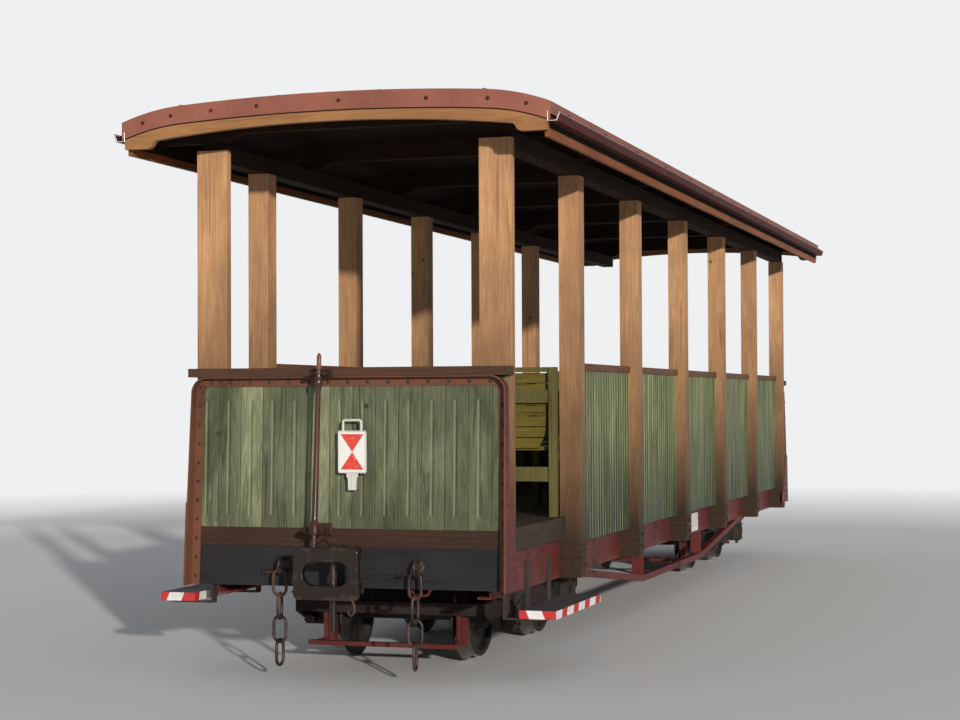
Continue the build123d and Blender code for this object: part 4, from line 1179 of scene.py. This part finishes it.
def marker_plate(wide, high, depth):
    """Points around a plate with round corners, at a depth behind the marker's front."""
    line = rounded(wide, high, MARKER_CORNER, 5)
    return [(MARKER_X + a, MARKER_FRONT + depth, MARKER_MIDDLE + b) for a, b in line]


marker_wide, marker_tall = 2 * MARKER_HALF, MARKER_HIGH - MARKER_LOW
bm = bmesh.new()
add_prism(bm, marker_plate(marker_wide, marker_tall, FACE_IN), (0, MARKER_THICK, 0))
piece("marker_face", bm, "marker", bevel=0.001, stands_for=("marker_plate",))
bm = bmesh.new()
edge = marker_plate(marker_wide - 0.008, marker_tall - 0.008, BEAD_IN)
add_tube(bm, edge, EDGE_BEAD, closed=True, sides=8)
add_tube(bm, marker_line(BAIL_HALF, BAIL_IN), BAIL_WIRE, sides=10)
add_prism(bm, marker_line(TONGUE_HALF, TONGUE_IN), (0, TONGUE_THICK, 0))
add_box(
    bm, (MARKER_X - RIB_HALF, MARKER_FRONT + RIB_IN, RIB_LOW),
    (MARKER_X + RIB_HALF, MARKER_FRONT + FACE_IN, RIB_HIGH),
)
piece("marker_frame", bm, "white", bevel=0.001)
bm = bmesh.new()
add_box(
    bm, (MARKER_X - SOCKET_HALF, MARKER_FRONT + SOCKET_IN, SOCKET_LOW),
    (MARKER_X + SOCKET_HALF, SOCKET_BACK, SOCKET_HIGH),
)
piece("marker_socket", bm, "end_boards", smooth=False, bevel=0.002)


# Floor, light and camera
BACKDROP = (0.86, 0.87, 0.88, 1)
FLOOR_RADIUS, FLOOR_FADE_START, FLOOR_FADE_END = 70, 9.0, 20.0
SUN_DIRECTION, SUN_WIDTH = (0.56, -0.80, 0.20), 1.5
SENSOR_WIDTH, PHOTO_WIDTH, PHOTO_FOCUS = 36.0, 960.0, 1950.015
CAMERA_PLACE = (4.03414, -15.12854, 1.57112)
CAMERA_YAW, CAMERA_PITCH, CAMERA_ROLL = 0.30759, 0.02098, -0.00458


def make_stage():
    """A grey floor that turns into the backdrop's colour far from the coach."""
    mesh = bpy.data.meshes.new("floor")
    bm = bmesh.new()
    bmesh.ops.create_circle(bm, cap_ends=True, segments=96, radius=FLOOR_RADIUS)
    bm.to_mesh(mesh)
    bm.free()
    floor = bpy.data.objects.new("floor", mesh)
    bpy.context.scene.collection.objects.link(floor)
    n = Surface("floor_pale")
    length = n.add("ShaderNodeVectorMath", {0: n.coords()}, operation="LENGTH")
    far = n.mask(length.outputs["Value"], FLOOR_FADE_START, FLOOR_FADE_END)
    seen = n.rays("Is Camera Ray", "Is Glossy Ray", "Is Transmission Ray")
    n.blend(n.times(far, seen), n.shader.outputs[0], n.glow("ShaderNodeEmission", BACKDROP, 1.0))
    mesh.materials.append(n.done((0.82, 0.82, 0.82, 1), 0.8))


def make_light():
    """A low sun and a weak sky. The camera sees the backdrop's colour in place of the sky."""
    world = bpy.data.worlds.new("sky")
    bpy.context.scene.world = world
    n = Nodes(world, "ShaderNodeOutputWorld")
    light = n.glow("ShaderNodeBackground", (0.92, 0.95, 1.0, 1), 0.3)
    shown = n.glow("ShaderNodeBackground", BACKDROP, 1.0)
    n.blend(n.rays("Is Camera Ray", "Is Transmission Ray"), light, shown)
    sun = bpy.data.lights.new("sun", "SUN")
    sun.energy = 3.3
    sun.color = (1.0, 0.95, 0.88)
    sun.angle = math.radians(SUN_WIDTH)
    lamp = bpy.data.objects.new("sun", sun)
    lamp.matrix_world = turned(SUN_DIRECTION)
    bpy.context.scene.collection.objects.link(lamp)


def make_camera():
    """The photograph's camera, fitted to points on the coach."""
    data = bpy.data.cameras.new("camera")
    data.sensor_width = SENSOR_WIDTH
    data.sensor_fit = "HORIZONTAL"
    data.lens = SENSOR_WIDTH * PHOTO_FOCUS / PHOTO_WIDTH
    data.clip_end = 300.0
    camera = bpy.data.objects.new("camera", data)
    aim = Matrix.Rotation(CAMERA_YAW, 4, "Z") @ Matrix.Rotation(math.pi / 2 + CAMERA_PITCH, 4, "X")
    camera.matrix_world = Matrix.Translation(CAMERA_PLACE) @ aim @ Matrix.Rotation(CAMERA_ROLL, 4, "Z")
    bpy.context.scene.collection.objects.link(camera)
    bpy.context.scene.camera = camera


make_stage()
make_light()
make_camera()
bpy.context.scene.view_settings.view_transform = "Standard"
